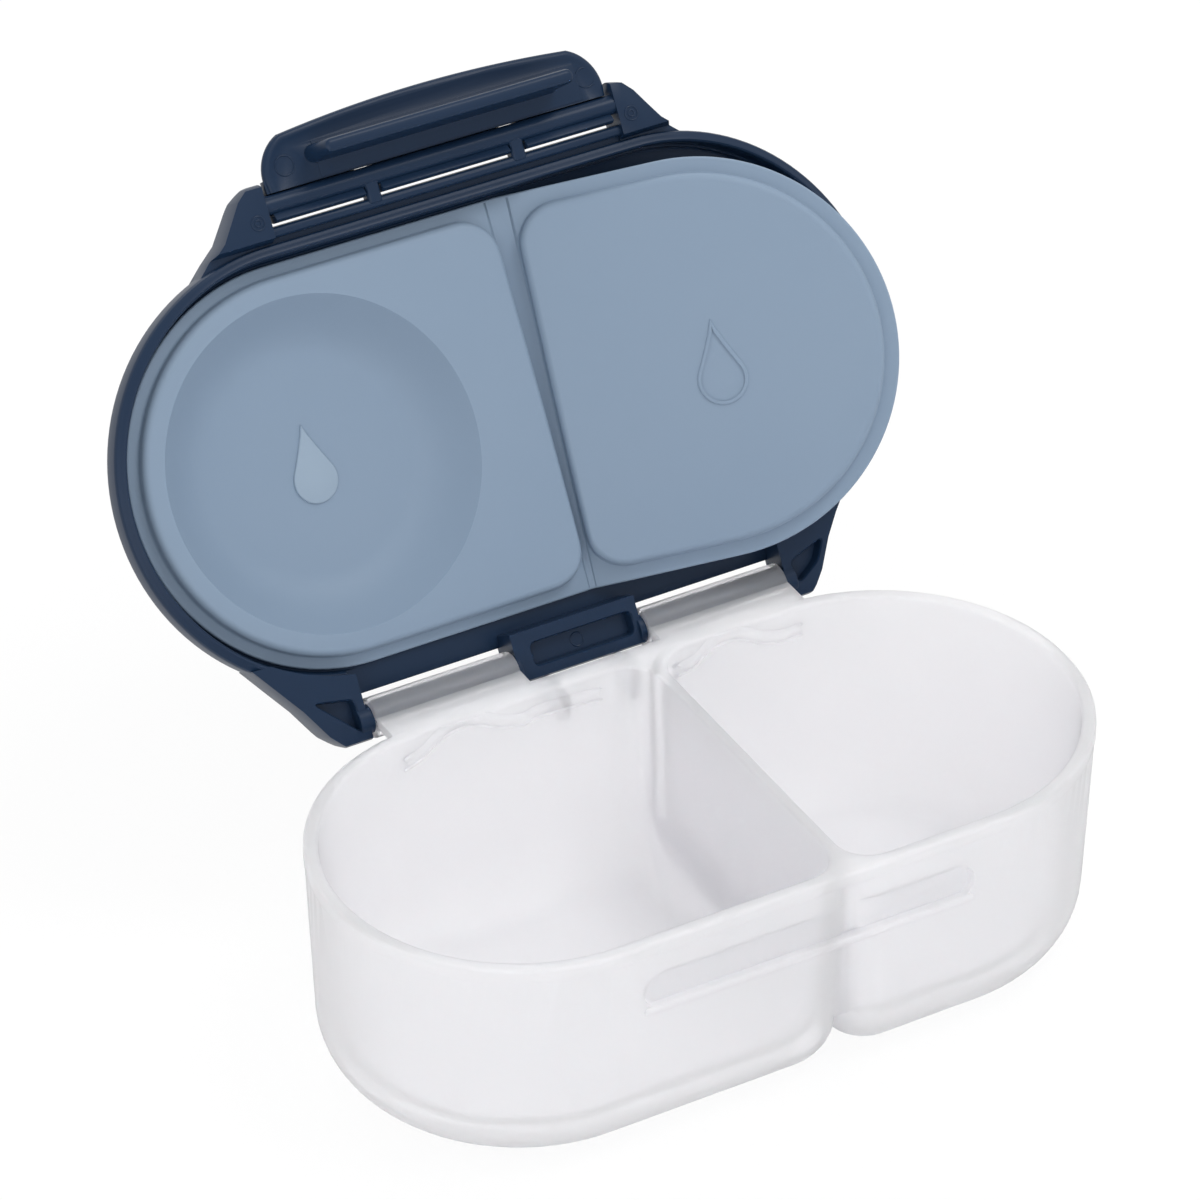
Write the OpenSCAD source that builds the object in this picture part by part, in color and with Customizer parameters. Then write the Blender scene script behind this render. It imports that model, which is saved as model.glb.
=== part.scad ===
// Toddler snack container: a two-cup tub, a hinged lid with a soft seal, and a hook-on clip.
// Millimetres. +X runs along the hinge, +Y from the clip to the hinge, +Z up.
// The origin is the middle of the underside of the tub. The lid, the seal and the clip are
// drawn closed and then swung to the open pose in which the container is stored.

/* [Tub] */
// Length of the tub over its rim
tub_length = 160; // [154:1:168]
// Width of the tub over its rim
tub_width = 80; // [78:1:84]
// Height of the tub
tub_height = 48.5; // [47:0.5:54]
// Wall of the cups
wall_t = 2.8; // [2.4:0.1:2.9]
// Thickness of the cup floors
floor_t = 4; // [3.2:0.1:4.2]
// Depth of the plain band that joins the two cups at the rim
rim_depth = 3; // [2.5:0.5:4]
// Lean of the cup walls in degrees
draft = 2.1; // [1.5:0.1:2.4]
// Rounding between the walls and the underside
bottom_round = 9.7; // [8:0.1:11]
// Place of the dividing wall
divider_x = 9.2; // [7.5:0.1:10.5]
// Thickness of the dividing wall at the rim
divider_t = 2.4; // [2.2:0.1:2.6]
// Upright corner of a cup beside the groove
cup_corner = 7; // [6:0.5:8]

/* [Latch recess of the tub] */
// Length of the recess
recess_length = 71; // [64:1:76]
// Height of the recess
recess_height = 8; // [7:0.5:8]
// Depth of the recess
recess_depth = 1.4; // [0.8:0.1:1.5]
// Thickness of the catch rib on the lower edge of the recess
catch_t = 1.6; // [1.2:0.1:2]

/* [Hinge] */
// Hinge line behind the rim
hinge_back = 8.97; // [8.9:0.01:9.2]
// Hinge line below the rim
hinge_drop = 2.25; // [2.2:0.01:2.4]
// Outside radius of a barrel
barrel_r = 4; // [3.8:0.1:4.1]
// Bore radius of a barrel
bore_r = 2.9; // [2.6:0.1:3]
// Length of a barrel
barrel_length = 31.3; // [28:0.1:31.6]
// Middle of a barrel from the middle of the tub
barrel_x = 29.85; // [29.7:0.05:30]
// Play between a rod and its bore or hook
running_play = 0.08; // [0.05:0.01:0.1]
// Angle between the closed lid and the open lid
open_angle = 123; // [118:1:126]

/* [Lid] */
// Play between the rim of the tub and the skirt of the lid
lid_play = 0.35; // [0.3:0.05:0.45]
// Thickness of the skirt
skirt_t = 2.4; // [2.2:0.1:2.6]
// Lap of the skirt over the rim
skirt_lap = 4.15; // [3.8:0.05:4.2]
// Thickness of the top plate
plate_t = 1.2; // [1.2:0.1:1.6]
// Rounding of the top edge
lid_round = 2.5; // [2:0.1:2.8]
// Half length of the block between the barrels
block_half = 13.7; // [12.5:0.1:13.8]
// Radius of the window over the dish of the seal
window_r = 29.5; // [29.4:0.1:31]

/* [Seal] */
// Thickness of the soft sheet
sheet_t = 1.1; // [1:0.1:1.4]
// Height of the pads over the sheet
pad_height = 3.1; // [2.4:0.1:3.2]
// Play between a pad and its cup
pad_play = 0.5; // [0.5:0.1:0.9]
// Distance from the dividing wall to a pad
pad_clear = 0.5; // [0.5:0.1:0.8]
// Radius of the dish at the face of the pad
dish_r = 31.6; // [30.6:0.1:31.8]
// Radius of the flat floor of the dish
dish_floor_r = 22.5; // [20:0.5:23]
// Depth of the dish
dish_depth = 7.7; // [7:0.1:8]
// Angle by which the right half is folded out of its seat
fold_angle = 22; // [18:1:23]
// Slant of the fold line, which lets the folded half droop
fold_slant = 8; // [6:1:9]

/* [Clip] */
// Latch rod in front of the rim
rod_front = 10; // [9.9:0.1:10.4]
// Latch rod below the rim
rod_drop = 2.7; // [2.6:0.1:2.9]
// Radius of the latch rod
rod_r = 1.95; // [1.8:0.05:2]
// Outside radius of a hook
hook_r = 3.6; // [3.3:0.1:3.7]
// Width of the clip
clip_width = 73.5; // [70:0.5:76]
// Reach of the clip from the rod to its free edge
clip_reach = 14.3; // [14:0.1:16]
// Thickness of the clip plate
clip_t = 1.8; // [1.6:0.1:2]
// Length of the clip's rib
rib_length = 54; // [46:1:58]
// Angle between the closed clip and the open clip
clip_angle = 95; // [90:1:95]

/* [Hidden] */
half_span = (tub_length - tub_width) / 2;
tub_r = tub_width / 2;
bottom_rise = bottom_round * 1.2;
divider_round = 6;
overlap = 1;
sliver = 0.01;
big_fn = 64;
small_fn = 32;

recess_low = tub_height - 16;
recess_mid = recess_low + recess_height / 2;
catch_proud = 0.7;
catch_root = 0.3;

hinge_y = tub_r + hinge_back;
hinge_z = tub_height - hinge_drop;
pin_r = bore_r - running_play;
bulge_back = 1.7;
hump_back = 3.6;
hump_r = 22;
stop_rib_t = 2.4;
stop_rib_x = 8;
stop_low = 38.5;
stop_gap = 0.15;

seat_gap = 0.5;
lining_gap = 0.25;
sheet_low = tub_height + seat_gap;
sheet_top = sheet_low + sheet_t;
plate_low = sheet_top + lining_gap;
lid_top = plate_low + plate_t;
skirt_in = tub_r + lid_play;
lid_r = skirt_in + skirt_t;
skirt_low = tub_height - skirt_lap;
lid_deep = lid_top - skirt_low;
block_round = 5;
block_front = tub_r + 2.1;
block_y = hinge_y - 1.97;
ear_y = hinge_y - 1;
block_z = lid_top - block_round;
block_corner_y = block_y + sqrt(pow(block_round, 2) - pow(block_z - skirt_low, 2));
stop_sweep = norm([block_corner_y - hinge_y, hinge_z - skirt_low]) + 2 * stop_gap;
ear_x = 46.3;
ear_long = 19.7;
ear_front = tub_r - 6;
band_back = tub_r + 5.5;

sheet_play = 1.25;
sheet_r = skirt_in - sheet_play;
pad_r = tub_r - wall_t - pad_play;
pad_low = sheet_low - pad_height;
pad_corner = 8;
left_pad_x = divider_x - divider_t / 2 - pad_clear;
right_pad_x = divider_x + divider_t / 2 + pad_clear;
fold_gap = 0.3;
fold_z = sheet_low + sheet_t / 2;
dish_x = -half_span;
dish_top = pad_low + dish_depth + sheet_t;
drop_r = 4.6;
drop_rise = 0.5;

rod_y = -(tub_r + rod_front);
rod_z = tub_height - rod_drop;
hook_in = rod_r + running_play;
post_x = 15.7;
post_t = 3;
ledge_front = tub_r + 5.9;
ledge_low = skirt_low + 1;
ledge_top = tub_height + 1;
latch_ear_r = 4.4;
latch_ear_gap = 1.15;
latch_ear_x = clip_width / 2 + latch_ear_gap;
latch_ear_long = 17.8;
latch_ear_back = 2 - tub_r;
plate_back = rod_y + 1.3;
free_rise = 2;
free_r = (clip_width * clip_width / 4 + free_rise * free_rise) / (2 * free_rise);
clip_corner = 9;
corner_rise = free_rise * pow(1 - 2 * clip_corner / clip_width, 2);
rib_t = 3;
rib_drop = 7.1;
rib_front = 38.7;
hook_gap = 0.35;

// Node to show

// Flat shapes

// Two round ends with straight sides between them.
module stadium(radius, half) {
    square([2 * half, 2 * radius], center = true);
    for (side = [-1, 1])
        translate([side * half, 0]) circle(r = radius, $fn = big_fn * 2);
}

// Round outer end of a half; side is -1 left, 1 right.
module outer_end(side, radius, facets) {
    translate([side * half_span, 0]) intersection() {
        circle(r = radius, $fn = facets);
        translate([min(0, side * 2 * radius), -radius]) square(2 * radius);
    }
}

// Half of a stadium that ends at the dividing wall with rounded corners.
module half_stadium(side, face_x, radius, corner) {
    run = abs(side * half_span - face_x);
    outer_end(side, radius, big_fn * 2);
    translate([min(side * half_span, face_x + side * corner), -radius])
        square([run - corner, 2 * radius]);
    translate([min(side * half_span, face_x), corner - radius])
        square([run, 2 * (radius - corner)]);
    for (end = [-1, 1])
        translate([face_x + side * corner, end * (radius - corner)])
            circle(r = corner, $fn = small_fn);
}

// Drop shape: a round foot and a point.
module drop_outline(radius) {
    circle(r = radius, $fn = small_fn);
    polygon([[-radius * 0.87, radius * 0.5], [0, radius * 2.4], [radius * 0.87, radius * 0.5]]);
}

// Frames

// Draws a flat YZ shape along X, centred.
module along_x(length) {
    rotate([90, 0, 90]) linear_extrude(height = length, center = true) children();
}

// Draws a flat XZ shape from front_y backwards.
module along_y(front_y, length) {
    translate([0, front_y + length, 0]) rotate([90, 0, 0])
        linear_extrude(height = length) children();
}

// Round bar along X.
module bar_x(radius, length, y, z) {
    translate([-length / 2, y, z]) rotate([0, 90, 0])
        cylinder(r = radius, h = length, $fn = big_fn);
}

// Swings a closed part to the open pose of the lid.
module swing_lid() {
    translate([0, hinge_y, hinge_z]) rotate([-open_angle, 0, 0])
        translate([0, -hinge_y, -hinge_z]) children();
}

// Swings the closed clip to its open pose on the open lid.
module swing_clip() {
    swing_lid() translate([0, rod_y, rod_z]) rotate([-clip_angle, 0, 0])
        translate([0, -rod_y, -rod_z]) children();
}

// Folds the seated right half of the seal out of the open lid.
module fold_flap() {
    swing_lid() translate([divider_x, 0, fold_z]) rotate([fold_slant, 0, 0])
        rotate([0, fold_angle, 0]) rotate([-fold_slant, 0, 0])
            translate([-divider_x, 0, -fold_z]) children();
}

// Tub

// One level of a cup's plan.
module cup_level(side, face_x, radius, level) {
    translate([0, 0, level]) linear_extrude(height = sliver) {
        outer_end(side, radius, big_fn);
        for (end = [-1, 1])
            translate([face_x + side * cup_corner, end * (radius - cup_corner)])
                circle(r = cup_corner, $fn = small_fn);
    }
}

// A cup as a smooth closed form that stands on floor_z.
module cup_form(side, face_x, inset, floor_z, top) {
    hull() {
        for (turn = [0 : 15 : 90]) {
            rise = bottom_rise * (1 - sin(turn));
            lean = tan(draft) * (tub_height - floor_z - rise);
            cup_level(side, face_x + side * (lean + divider_round * (1 - cos(turn))),
                tub_r - inset - lean - bottom_round * (1 - cos(turn)), floor_z + rise);
        }
        cup_level(side, face_x, tub_r - inset, top - sliver);
    }
}

// Barrels, webs, humps and stop ribs of the hinge.
module tub_hinge() {
    for (side = [-1, 1]) translate([side * barrel_x, 0, 0]) {
        bar_x(barrel_r, barrel_length, hinge_y, hinge_z);
        translate([-barrel_length / 2, tub_r - wall_t, hinge_z])
            cube([barrel_length, hinge_back + wall_t, hinge_drop]);
        translate([0, tub_r + hump_back - hump_r, tub_height - rim_depth])
            intersection() {
                cylinder(r = hump_r, h = rim_depth, $fn = big_fn * 2);
                translate([-barrel_length / 2, hump_r - hump_back - wall_t, 0])
                    cube([barrel_length, hump_back + wall_t, rim_depth]);
            }
    }
    translate([-barrel_x, tub_r - wall_t, tub_height - rim_depth])
        cube([2 * barrel_x, wall_t + bulge_back, rim_depth]);
    for (side = [-1, 1]) translate([side * stop_rib_x, 0, 0])
        along_x(stop_rib_t) difference() {
            translate([tub_r - wall_t, stop_low])
                square([hinge_back + wall_t + 2, skirt_low - 2 * stop_gap - stop_low]);
            translate([hinge_y, hinge_z]) rotate(-open_angle)
                translate([block_y - hinge_y, block_z - hinge_z])
                    circle(r = block_round + stop_gap, $fn = big_fn);
            translate([hinge_y, hinge_z]) circle(r = stop_sweep, $fn = big_fn);
        }
}

module base_tub() {
    color([0.90, 0.90, 0.92]) difference() {
        union() {
            cup_form(-1, divider_x + divider_t / 2, 0, 0, tub_height);
            cup_form(1, divider_x - divider_t / 2, 0, 0, tub_height);
            translate([0, 0, tub_height - rim_depth]) linear_extrude(height = rim_depth)
                stadium(tub_r, half_span);
            tub_hinge();
        }
        cup_form(-1, divider_x - divider_t / 2, wall_t, floor_t, tub_height + overlap);
        cup_form(1, divider_x + divider_t / 2, wall_t, floor_t, tub_height + overlap);
        bar_x(bore_r, tub_width + 2 * overlap * barrel_length, hinge_y, hinge_z);
        along_y(-tub_r - overlap, overlap + recess_depth + (tub_height - recess_mid) * tan(draft))
            translate([0, recess_mid])
                stadium(recess_height / 2, (recess_length - recess_height) / 2);
    }
    color([0.90, 0.90, 0.92])
        along_y(-tub_r - catch_proud + (tub_height - recess_low) * tan(draft),
            catch_proud + recess_depth + catch_root)
            translate([0, recess_low]) stadium(catch_t / 2, (recess_length - catch_t) / 2);
}

// Lid

// Half of the lid's cross-section, from its middle line to its outer wall.
module cap_profile() {
    translate([0, skirt_low]) square([lid_r - lid_round, lid_deep]);
    translate([0, skirt_low]) square([lid_r, lid_deep - lid_round]);
    translate([lid_r - lid_round, lid_top - lid_round]) circle(r = lid_round, $fn = small_fn);
}

module cap_solid() {
    for (side = [-1, 1]) translate([side * half_span, 0, 0])
        rotate_extrude($fn = big_fn * 2) intersection() {
            cap_profile();
            translate([0, skirt_low]) square([lid_r + overlap, lid_deep]);
        }
    along_x(2 * half_span) {
        cap_profile();
        mirror([1, 0]) cap_profile();
    }
}

// Rounded side view shared by the hinge block and the hinge ears.
module hinge_side_view(centre_y) {
    intersection() {
        union() {
            translate([tub_r - 10, skirt_low]) square([centre_y - tub_r + 10, lid_deep]);
            translate([centre_y, block_z]) circle(r = block_round, $fn = big_fn);
        }
        translate([0, skirt_low]) square([2 * hinge_y, lid_deep]);
    }
}

// Swept ear outside a barrel.
module hinge_ear(side) {
    intersection() {
        mirror([side < 0 ? 1 : 0, 0, 0]) translate([0, 0, skirt_low])
            linear_extrude(height = lid_deep) polygon([[ear_x, ear_front],
                [ear_x, hinge_y + block_round],
                [ear_x + ear_long * 0.19, hinge_y + block_round],
                [ear_x + ear_long * 0.31, hinge_y + block_round * 0.62],
                [ear_x + ear_long * 0.42, hinge_y + block_round * 0.16],
                [ear_x + ear_long * 0.61, hinge_y - block_round * 1.1],
                [ear_x + ear_long * 0.76, hinge_y - block_round * 1.86],
                [ear_x + ear_long, ear_front]]);
        along_x(2 * tub_length) hinge_side_view(ear_y);
    }
}

// Swept ear that carries an end of the latch rod.
module latch_ear(side) {
    intersection() {
        mirror([side < 0 ? 1 : 0, 0, 0]) translate([0, 0, skirt_low])
            linear_extrude(height = lid_deep) polygon([[latch_ear_x, latch_ear_back],
                [latch_ear_x, rod_y - latch_ear_r * 1.1],
                [latch_ear_x + latch_ear_long * 0.16, rod_y - latch_ear_r * 0.93],
                [latch_ear_x + latch_ear_long * 0.29, rod_y - latch_ear_r * 0.48],
                [latch_ear_x + latch_ear_long * 0.41, rod_y + latch_ear_r * 0.22],
                [latch_ear_x + latch_ear_long * 0.55, rod_y + latch_ear_r * 1.06],
                [latch_ear_x + latch_ear_long * 0.73, rod_y + latch_ear_r * 1.7],
                [latch_ear_x + latch_ear_long, latch_ear_back]]);
        along_x(2 * tub_length) union() {
            translate([rod_y, rod_z]) circle(r = latch_ear_r, $fn = big_fn);
            polygon([[latch_ear_back, skirt_low], [rod_y, skirt_low],
                [rod_y, rod_z + latch_ear_r], [latch_ear_back, lid_top]]);
        }
    }
}

// Latch rod with the ledge, posts and ears that hold it.
module latch_mount() {
    translate([-latch_ear_x - overlap, -ledge_front, ledge_low])
        cube([2 * (latch_ear_x + overlap), ledge_front - tub_r - lid_play - 0.5,
            ledge_top - ledge_low]);
    bar_x(rod_r, 2 * (latch_ear_x + overlap), rod_y, rod_z);
    for (side = [-1, 1]) {
        latch_ear(side);
        translate([side * post_x - post_t / 2, rod_y, rod_z - post_t / 2])
            cube([post_t, -rod_y - lid_r + overlap, post_t]);
    }
}

module lid_shell() {
    color([0.11, 0.20, 0.31]) swing_lid() difference() {
        union() {
            difference() {
                union() {
                    cap_solid();
                    translate([-ear_x - overlap, 0, plate_low])
                        cube([2 * (ear_x + overlap), band_back, plate_t]);
                    for (side = [-1, 1]) hinge_ear(side);
                    along_x(2 * block_half) hinge_side_view(block_y);
                    latch_mount();
                }
                translate([0, 0, skirt_low - overlap])
                    linear_extrude(height = plate_low - skirt_low + overlap)
                        stadium(skirt_in, half_span);
                for (side = [-1, 1])
                    translate([side * (ear_x + block_half) / 2, 0, skirt_low - overlap])
                        translate([(block_half - ear_x) / 2, skirt_in - overlap, 0])
                            cube([ear_x - block_half, hinge_back + 10,
                                plate_low - skirt_low + overlap]);
                translate([-block_half - overlap, tub_r - overlap, skirt_low - overlap])
                    cube([2 * (block_half + overlap), block_front - tub_r + overlap,
                        plate_low - skirt_low + overlap]);
            }
            bar_x(pin_r, 2 * (ear_x + 2), hinge_y, hinge_z);
        }
        translate([dish_x, 0, plate_low - overlap])
            cylinder(r = window_r, h = plate_t + 2 * overlap, $fn = big_fn * 2);
    }
}

// Seal

// Half-section of the dished skin: flat floor, sloping side and flat brim.
module dish_section() {
    brim = dish_r + 2;
    slope_r = (dish_r + dish_floor_r) / 2;
    polygon([[0, dish_top - sheet_t], [dish_floor_r, dish_top - sheet_t],
        [slope_r - 1, pad_low + dish_depth * 0.62], [slope_r + 2, pad_low + dish_depth * 0.3],
        [dish_r, pad_low], [brim, pad_low], [brim, pad_low + sheet_t],
        [dish_r + 0.5, pad_low + sheet_t], [slope_r + 2.2, pad_low + sheet_t + dish_depth * 0.32],
        [slope_r + 0.4, pad_low + sheet_t + dish_depth * 0.66], [dish_floor_r + 1, dish_top],
        [0, dish_top]]);
}

// Hollow-backed pad with its piece of the sheet.
module padded_half(side, face_x, pad_x) {
    difference() {
        union() {
            translate([0, 0, sheet_low]) linear_extrude(height = sheet_t) intersection() {
                stadium(sheet_r, half_span);
                translate([min(face_x, side * tub_length), -tub_r])
                    square([abs(side * tub_length - face_x), tub_width]);
            }
            translate([0, 0, pad_low]) linear_extrude(height = sheet_low - pad_low + sliver)
                half_stadium(side, pad_x, pad_r, pad_corner);
        }
        translate([0, 0, pad_low + sheet_t]) linear_extrude(height = tub_height)
            half_stadium(side, pad_x + side * sheet_t, pad_r - sheet_t, pad_corner - sheet_t);
    }
}

module seal_dish_half() {
    color([0.57, 0.65, 0.73]) swing_lid() {
        difference() {
            padded_half(-1, divider_x - fold_gap, left_pad_x);
            translate([dish_x, 0, pad_low - overlap])
                cylinder(r = dish_r + 1, h = dish_depth, $fn = big_fn * 2);
        }
        translate([dish_x, 0, 0]) {
            rotate_extrude($fn = big_fn * 2) dish_section();
            translate([0, -1, dish_top - sheet_t - drop_rise]) mirror([0, 1, 0])
                linear_extrude(height = drop_rise + overlap) drop_outline(drop_r);
        }
    }
}

module seal_flap_half() {
    wedge = sheet_r * tan(fold_angle) * tan(fold_slant);
    color([0.57, 0.65, 0.73]) fold_flap() {
        difference() {
            padded_half(1, divider_x + fold_gap, right_pad_x);
            translate([0, 0, sheet_low - overlap]) linear_extrude(height = sheet_t + 2 * overlap)
                polygon([[divider_x, 0], [divider_x + fold_gap, 0],
                    [divider_x + fold_gap + wedge, sheet_r + overlap],
                    [divider_x, sheet_r + overlap]]);
        }
        translate([half_span, -1, pad_low - drop_rise]) mirror([0, 1, 0])
            linear_extrude(height = drop_rise + overlap) drop_outline(drop_r);
    }
}

// Clip

// Front view of the clip plate with its arched free edge.
module clip_outline() {
    half = clip_width / 2;
    low = rod_z - clip_reach;
    intersection() {
        translate([0, low + free_r]) circle(r = free_r, $fn = 8 * big_fn);
        translate([-half, low]) square([clip_width, clip_reach - hook_in]);
        union() {
            translate([-half, low + clip_corner + corner_rise]) square([clip_width, clip_reach]);
            translate([clip_corner - half, low])
                square([clip_width - 2 * clip_corner, clip_reach]);
            for (side = [-1, 1])
                translate([side * (half - clip_corner), low + clip_corner + corner_rise])
                    circle(r = clip_corner, $fn = big_fn);
        }
    }
}

// Hook section: a ring around the rod, open towards the tub and downwards.
module hook_section() {
    translate([rod_y, rod_z]) difference() {
        circle(r = hook_r, $fn = big_fn);
        circle(r = hook_in, $fn = big_fn);
        polygon([[0, 0], [hook_r, hook_r * tan(60)], [2 * hook_r, 0], [2 * hook_r, -2 * hook_r],
            [0, -2 * hook_r]]);
    }
    translate([rod_y - clip_t / 2, rod_z - hook_r - overlap])
        square([clip_t, hook_r + overlap - hook_in]);
}

module latch_clip() {
    inner = post_x - post_t / 2 - hook_gap;
    outer_low = post_x + post_t / 2 + hook_gap;
    outer_high = clip_width / 2 - hook_gap;
    color([0.11, 0.20, 0.31]) swing_clip() {
        along_y(plate_back - clip_t, clip_t) clip_outline();
        along_y(plate_back - overlap, overlap - rib_front - plate_back)
            translate([0, rod_z - rib_drop])
                stadium(rib_t / 2, (rib_length - rib_t) / 2);
        along_x(2 * inner) hook_section();
        for (side = [-1, 1])
            translate([side * (outer_low + outer_high) / 2, 0, 0])
                along_x(outer_high - outer_low) hook_section();
    }
}

base_tub();
lid_shell();
seal_dish_half();
seal_flap_half();
latch_clip();
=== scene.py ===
"""Toddler snack container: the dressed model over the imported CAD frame.

Lengths in the classes below are millimetres in the frame of the tub, as the part is drawn
closed. The lid, the seal and the clip are modelled closed and then swung to the open pose.
"""

import logging
import math
from dataclasses import dataclass, replace
from enum import Enum
from typing import Callable, Sequence

import bpy
import numpy as np
from mathutils import Matrix, Vector


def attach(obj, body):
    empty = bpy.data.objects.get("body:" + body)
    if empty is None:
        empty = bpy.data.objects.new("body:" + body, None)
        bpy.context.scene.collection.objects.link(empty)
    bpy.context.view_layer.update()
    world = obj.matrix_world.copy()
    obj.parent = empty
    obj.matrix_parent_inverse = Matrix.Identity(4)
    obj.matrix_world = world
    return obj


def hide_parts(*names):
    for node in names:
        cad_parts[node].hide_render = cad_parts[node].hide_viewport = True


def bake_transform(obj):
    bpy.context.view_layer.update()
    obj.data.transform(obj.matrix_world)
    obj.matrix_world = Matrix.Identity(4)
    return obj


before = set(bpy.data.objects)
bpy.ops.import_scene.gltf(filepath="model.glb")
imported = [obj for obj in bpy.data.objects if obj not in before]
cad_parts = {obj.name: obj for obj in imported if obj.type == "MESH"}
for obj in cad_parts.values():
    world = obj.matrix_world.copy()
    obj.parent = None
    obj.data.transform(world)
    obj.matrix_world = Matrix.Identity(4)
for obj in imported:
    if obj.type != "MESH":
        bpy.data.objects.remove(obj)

LOG = logging.getLogger("snack_container")
MM = 0.001
Piece = bpy.types.Object
Material = bpy.types.Material
Tree = bpy.types.NodeTree
Node = bpy.types.Node
Socket = bpy.types.NodeSocket
Point2 = tuple[float, float]
Point3 = tuple[float, float, float]


class Body(Enum):
    """The moving bodies of the frame."""

    TUB = "tub"
    LID = "lid"
    FLAP = "seal_flap"
    CLIP = "clip"


class Slot(Enum):
    """The material slots of the record."""

    TUB = "tub_plastic"
    LID = "lid_plastic"
    SEAL = "seal_silicone"


# Colours and finishes


def linear(code: str) -> tuple[float, float, float, float]:
    """Turns an sRGB hex colour into the linear colour that shaders take.

    Args:
        code: six hex digits, with or without a leading hash.

    Returns:
        Red, green, blue and an alpha of 1.
    """
    digits = code.lstrip("#")
    channels = [int(digits[i : i + 2], 16) / 255.0 for i in (0, 2, 4)]
    lin = [c / 12.92 if c <= 0.04045 else ((c + 0.055) / 1.055) ** 2.4 for c in channels]
    return lin[0], lin[1], lin[2], 1.0


def socket_set(node: Node, values: dict[str, object]) -> None:
    """Sets the sockets of a node by name, where the node has them.

    Args:
        node: the node.
        values: the value of each socket, by name.
    """
    for name, value in values.items():
        if name in node.inputs:
            node.inputs[name].default_value = value


def add_node(tree: Tree, kind: str, **values: object) -> Node:
    """Adds a shader node of a kind and sets sockets whose names are single words.

    Args:
        tree: the tree that gets the node.
        kind: the node's kind, without the word ShaderNode.
        values: the values of its sockets.

    Returns:
        The new node.
    """
    node = tree.nodes.new("ShaderNode" + kind)
    socket_set(node, values)
    return node


def wire(tree: Tree, source: Node, output: str, target: Node, socket: str | int) -> None:
    """Links an output of one node to a socket of another.

    Args:
        tree: the tree of both nodes.
        source: the node that gives the value.
        output: name of its output.
        target: the node that takes the value.
        socket: name or number of its socket.
    """
    tree.links.new(source.outputs[output], target.inputs[socket])


@dataclass(frozen=True)
class MouldedFinish:
    """A moulded surface: two close tones, a fine grain and slow waves in its gloss."""

    title: str
    base: str
    shade: str
    roughness_low: float
    roughness_high: float
    tone_scale: float
    grain_scale: float
    grain_height: float
    wave_scale: float
    wave_height: float
    transmission: float = 0.0
    subsurface: float = 0.0
    subsurface_mm: float = 1.0
    ior: float = 1.49
    specular: float = 0.5

    def build(self) -> Material:
        """Builds the node material.

        Returns:
            The new material.
        """
        material = bpy.data.materials.new(self.title)
        material.use_nodes = True
        tree = material.node_tree
        shader = tree.nodes["Principled BSDF"]
        socket_set(
            shader,
            {
                "Transmission Weight": self.transmission,
                "Subsurface Weight": self.subsurface,
                "Subsurface Radius": (1.0, 0.95, 0.95),
                "Subsurface Scale": self.subsurface_mm * MM,
                "IOR": self.ior,
                "Specular IOR Level": self.specular,
            },
        )
        place = add_node(tree, "TexCoord")
        tone = self._noise(tree, place, self.tone_scale, 3.0)
        mix = add_node(tree, "Mix")
        mix.data_type = "RGBA"
        socket_set(mix, {"A": linear(self.base), "B": linear(self.shade)})
        wire(tree, tone, "Fac", mix, "Factor")
        wire(tree, mix, "Result", shader, "Base Color")
        gloss = add_node(tree, "MapRange")
        socket_set(gloss, {"To Min": self.roughness_low, "To Max": self.roughness_high})
        wire(tree, tone, "Fac", gloss, "Value")
        wire(tree, gloss, "Result", shader, "Roughness")
        grain = self._noise(tree, place, self.grain_scale, 2.0)
        wave = self._noise(tree, place, self.wave_scale, 1.0)
        fine = self._bump(tree, grain, self.grain_height)
        broad = self._bump(tree, wave, self.wave_height)
        wire(tree, fine, "Normal", broad, "Normal")
        wire(tree, broad, "Normal", shader, "Normal")
        return material

    @staticmethod
    def _noise(tree: Tree, place: Node, scale: float, detail: float) -> Node:
        """Adds a noise on the object's own coordinates; scale is features per metre.

        Args:
            tree: the tree of the material.
            place: the texture coordinates.
            scale: features per metre.
            detail: how many finer layers it has.

        Returns:
            The noise.
        """
        noise = add_node(tree, "TexNoise", Scale=scale, Detail=detail)
        wire(tree, place, "Object", noise, "Vector")
        return noise

    @staticmethod
    def _bump(tree: Tree, source: Node, height_mm: float) -> Node:
        """Adds a bump of a height in millimetres from a noise.

        Args:
            tree: the tree of the material.
            source: the noise.
            height_mm: height in millimetres.

        Returns:
            The bump.
        """
        bump = add_node(tree, "Bump", Strength=1.0, Distance=height_mm * MM)
        wire(tree, source, "Fac", bump, "Height")
        return bump


# Milky polypropylene of the tub: light passes, shapes behind it show only softly.
MILKY_POLYPROPYLENE = MouldedFinish(
    title="milky_polypropylene",
    base="#FCFBFE",
    shade="#F8F7FB",
    roughness_low=0.42,
    roughness_high=0.50,
    tone_scale=30.0,
    grain_scale=2500.0,
    grain_height=0.003,
    wave_scale=60.0,
    wave_height=0.03,
    transmission=0.5,
    subsurface=1.0,
    subsurface_mm=10.0,
    ior=1.15,
    specular=1.0,
)

# The thin barrels are clearer, so the dark rods inside them show.
CLEAR_POLYPROPYLENE = replace(
    MILKY_POLYPROPYLENE,
    title="clear_polypropylene",
    roughness_low=0.26,
    roughness_high=0.32,
    transmission=0.82,
)

# Deep navy polypropylene of the lid and the clip, with a soft moulded gloss.
NAVY_POLYPROPYLENE = MouldedFinish(
    title="navy_polypropylene",
    base="#15273E",
    shade="#192D46",
    roughness_low=0.30,
    roughness_high=0.40,
    tone_scale=40.0,
    grain_scale=3000.0,
    grain_height=0.004,
    wave_scale=80.0,
    wave_height=0.02,
    specular=0.2,
)

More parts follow.
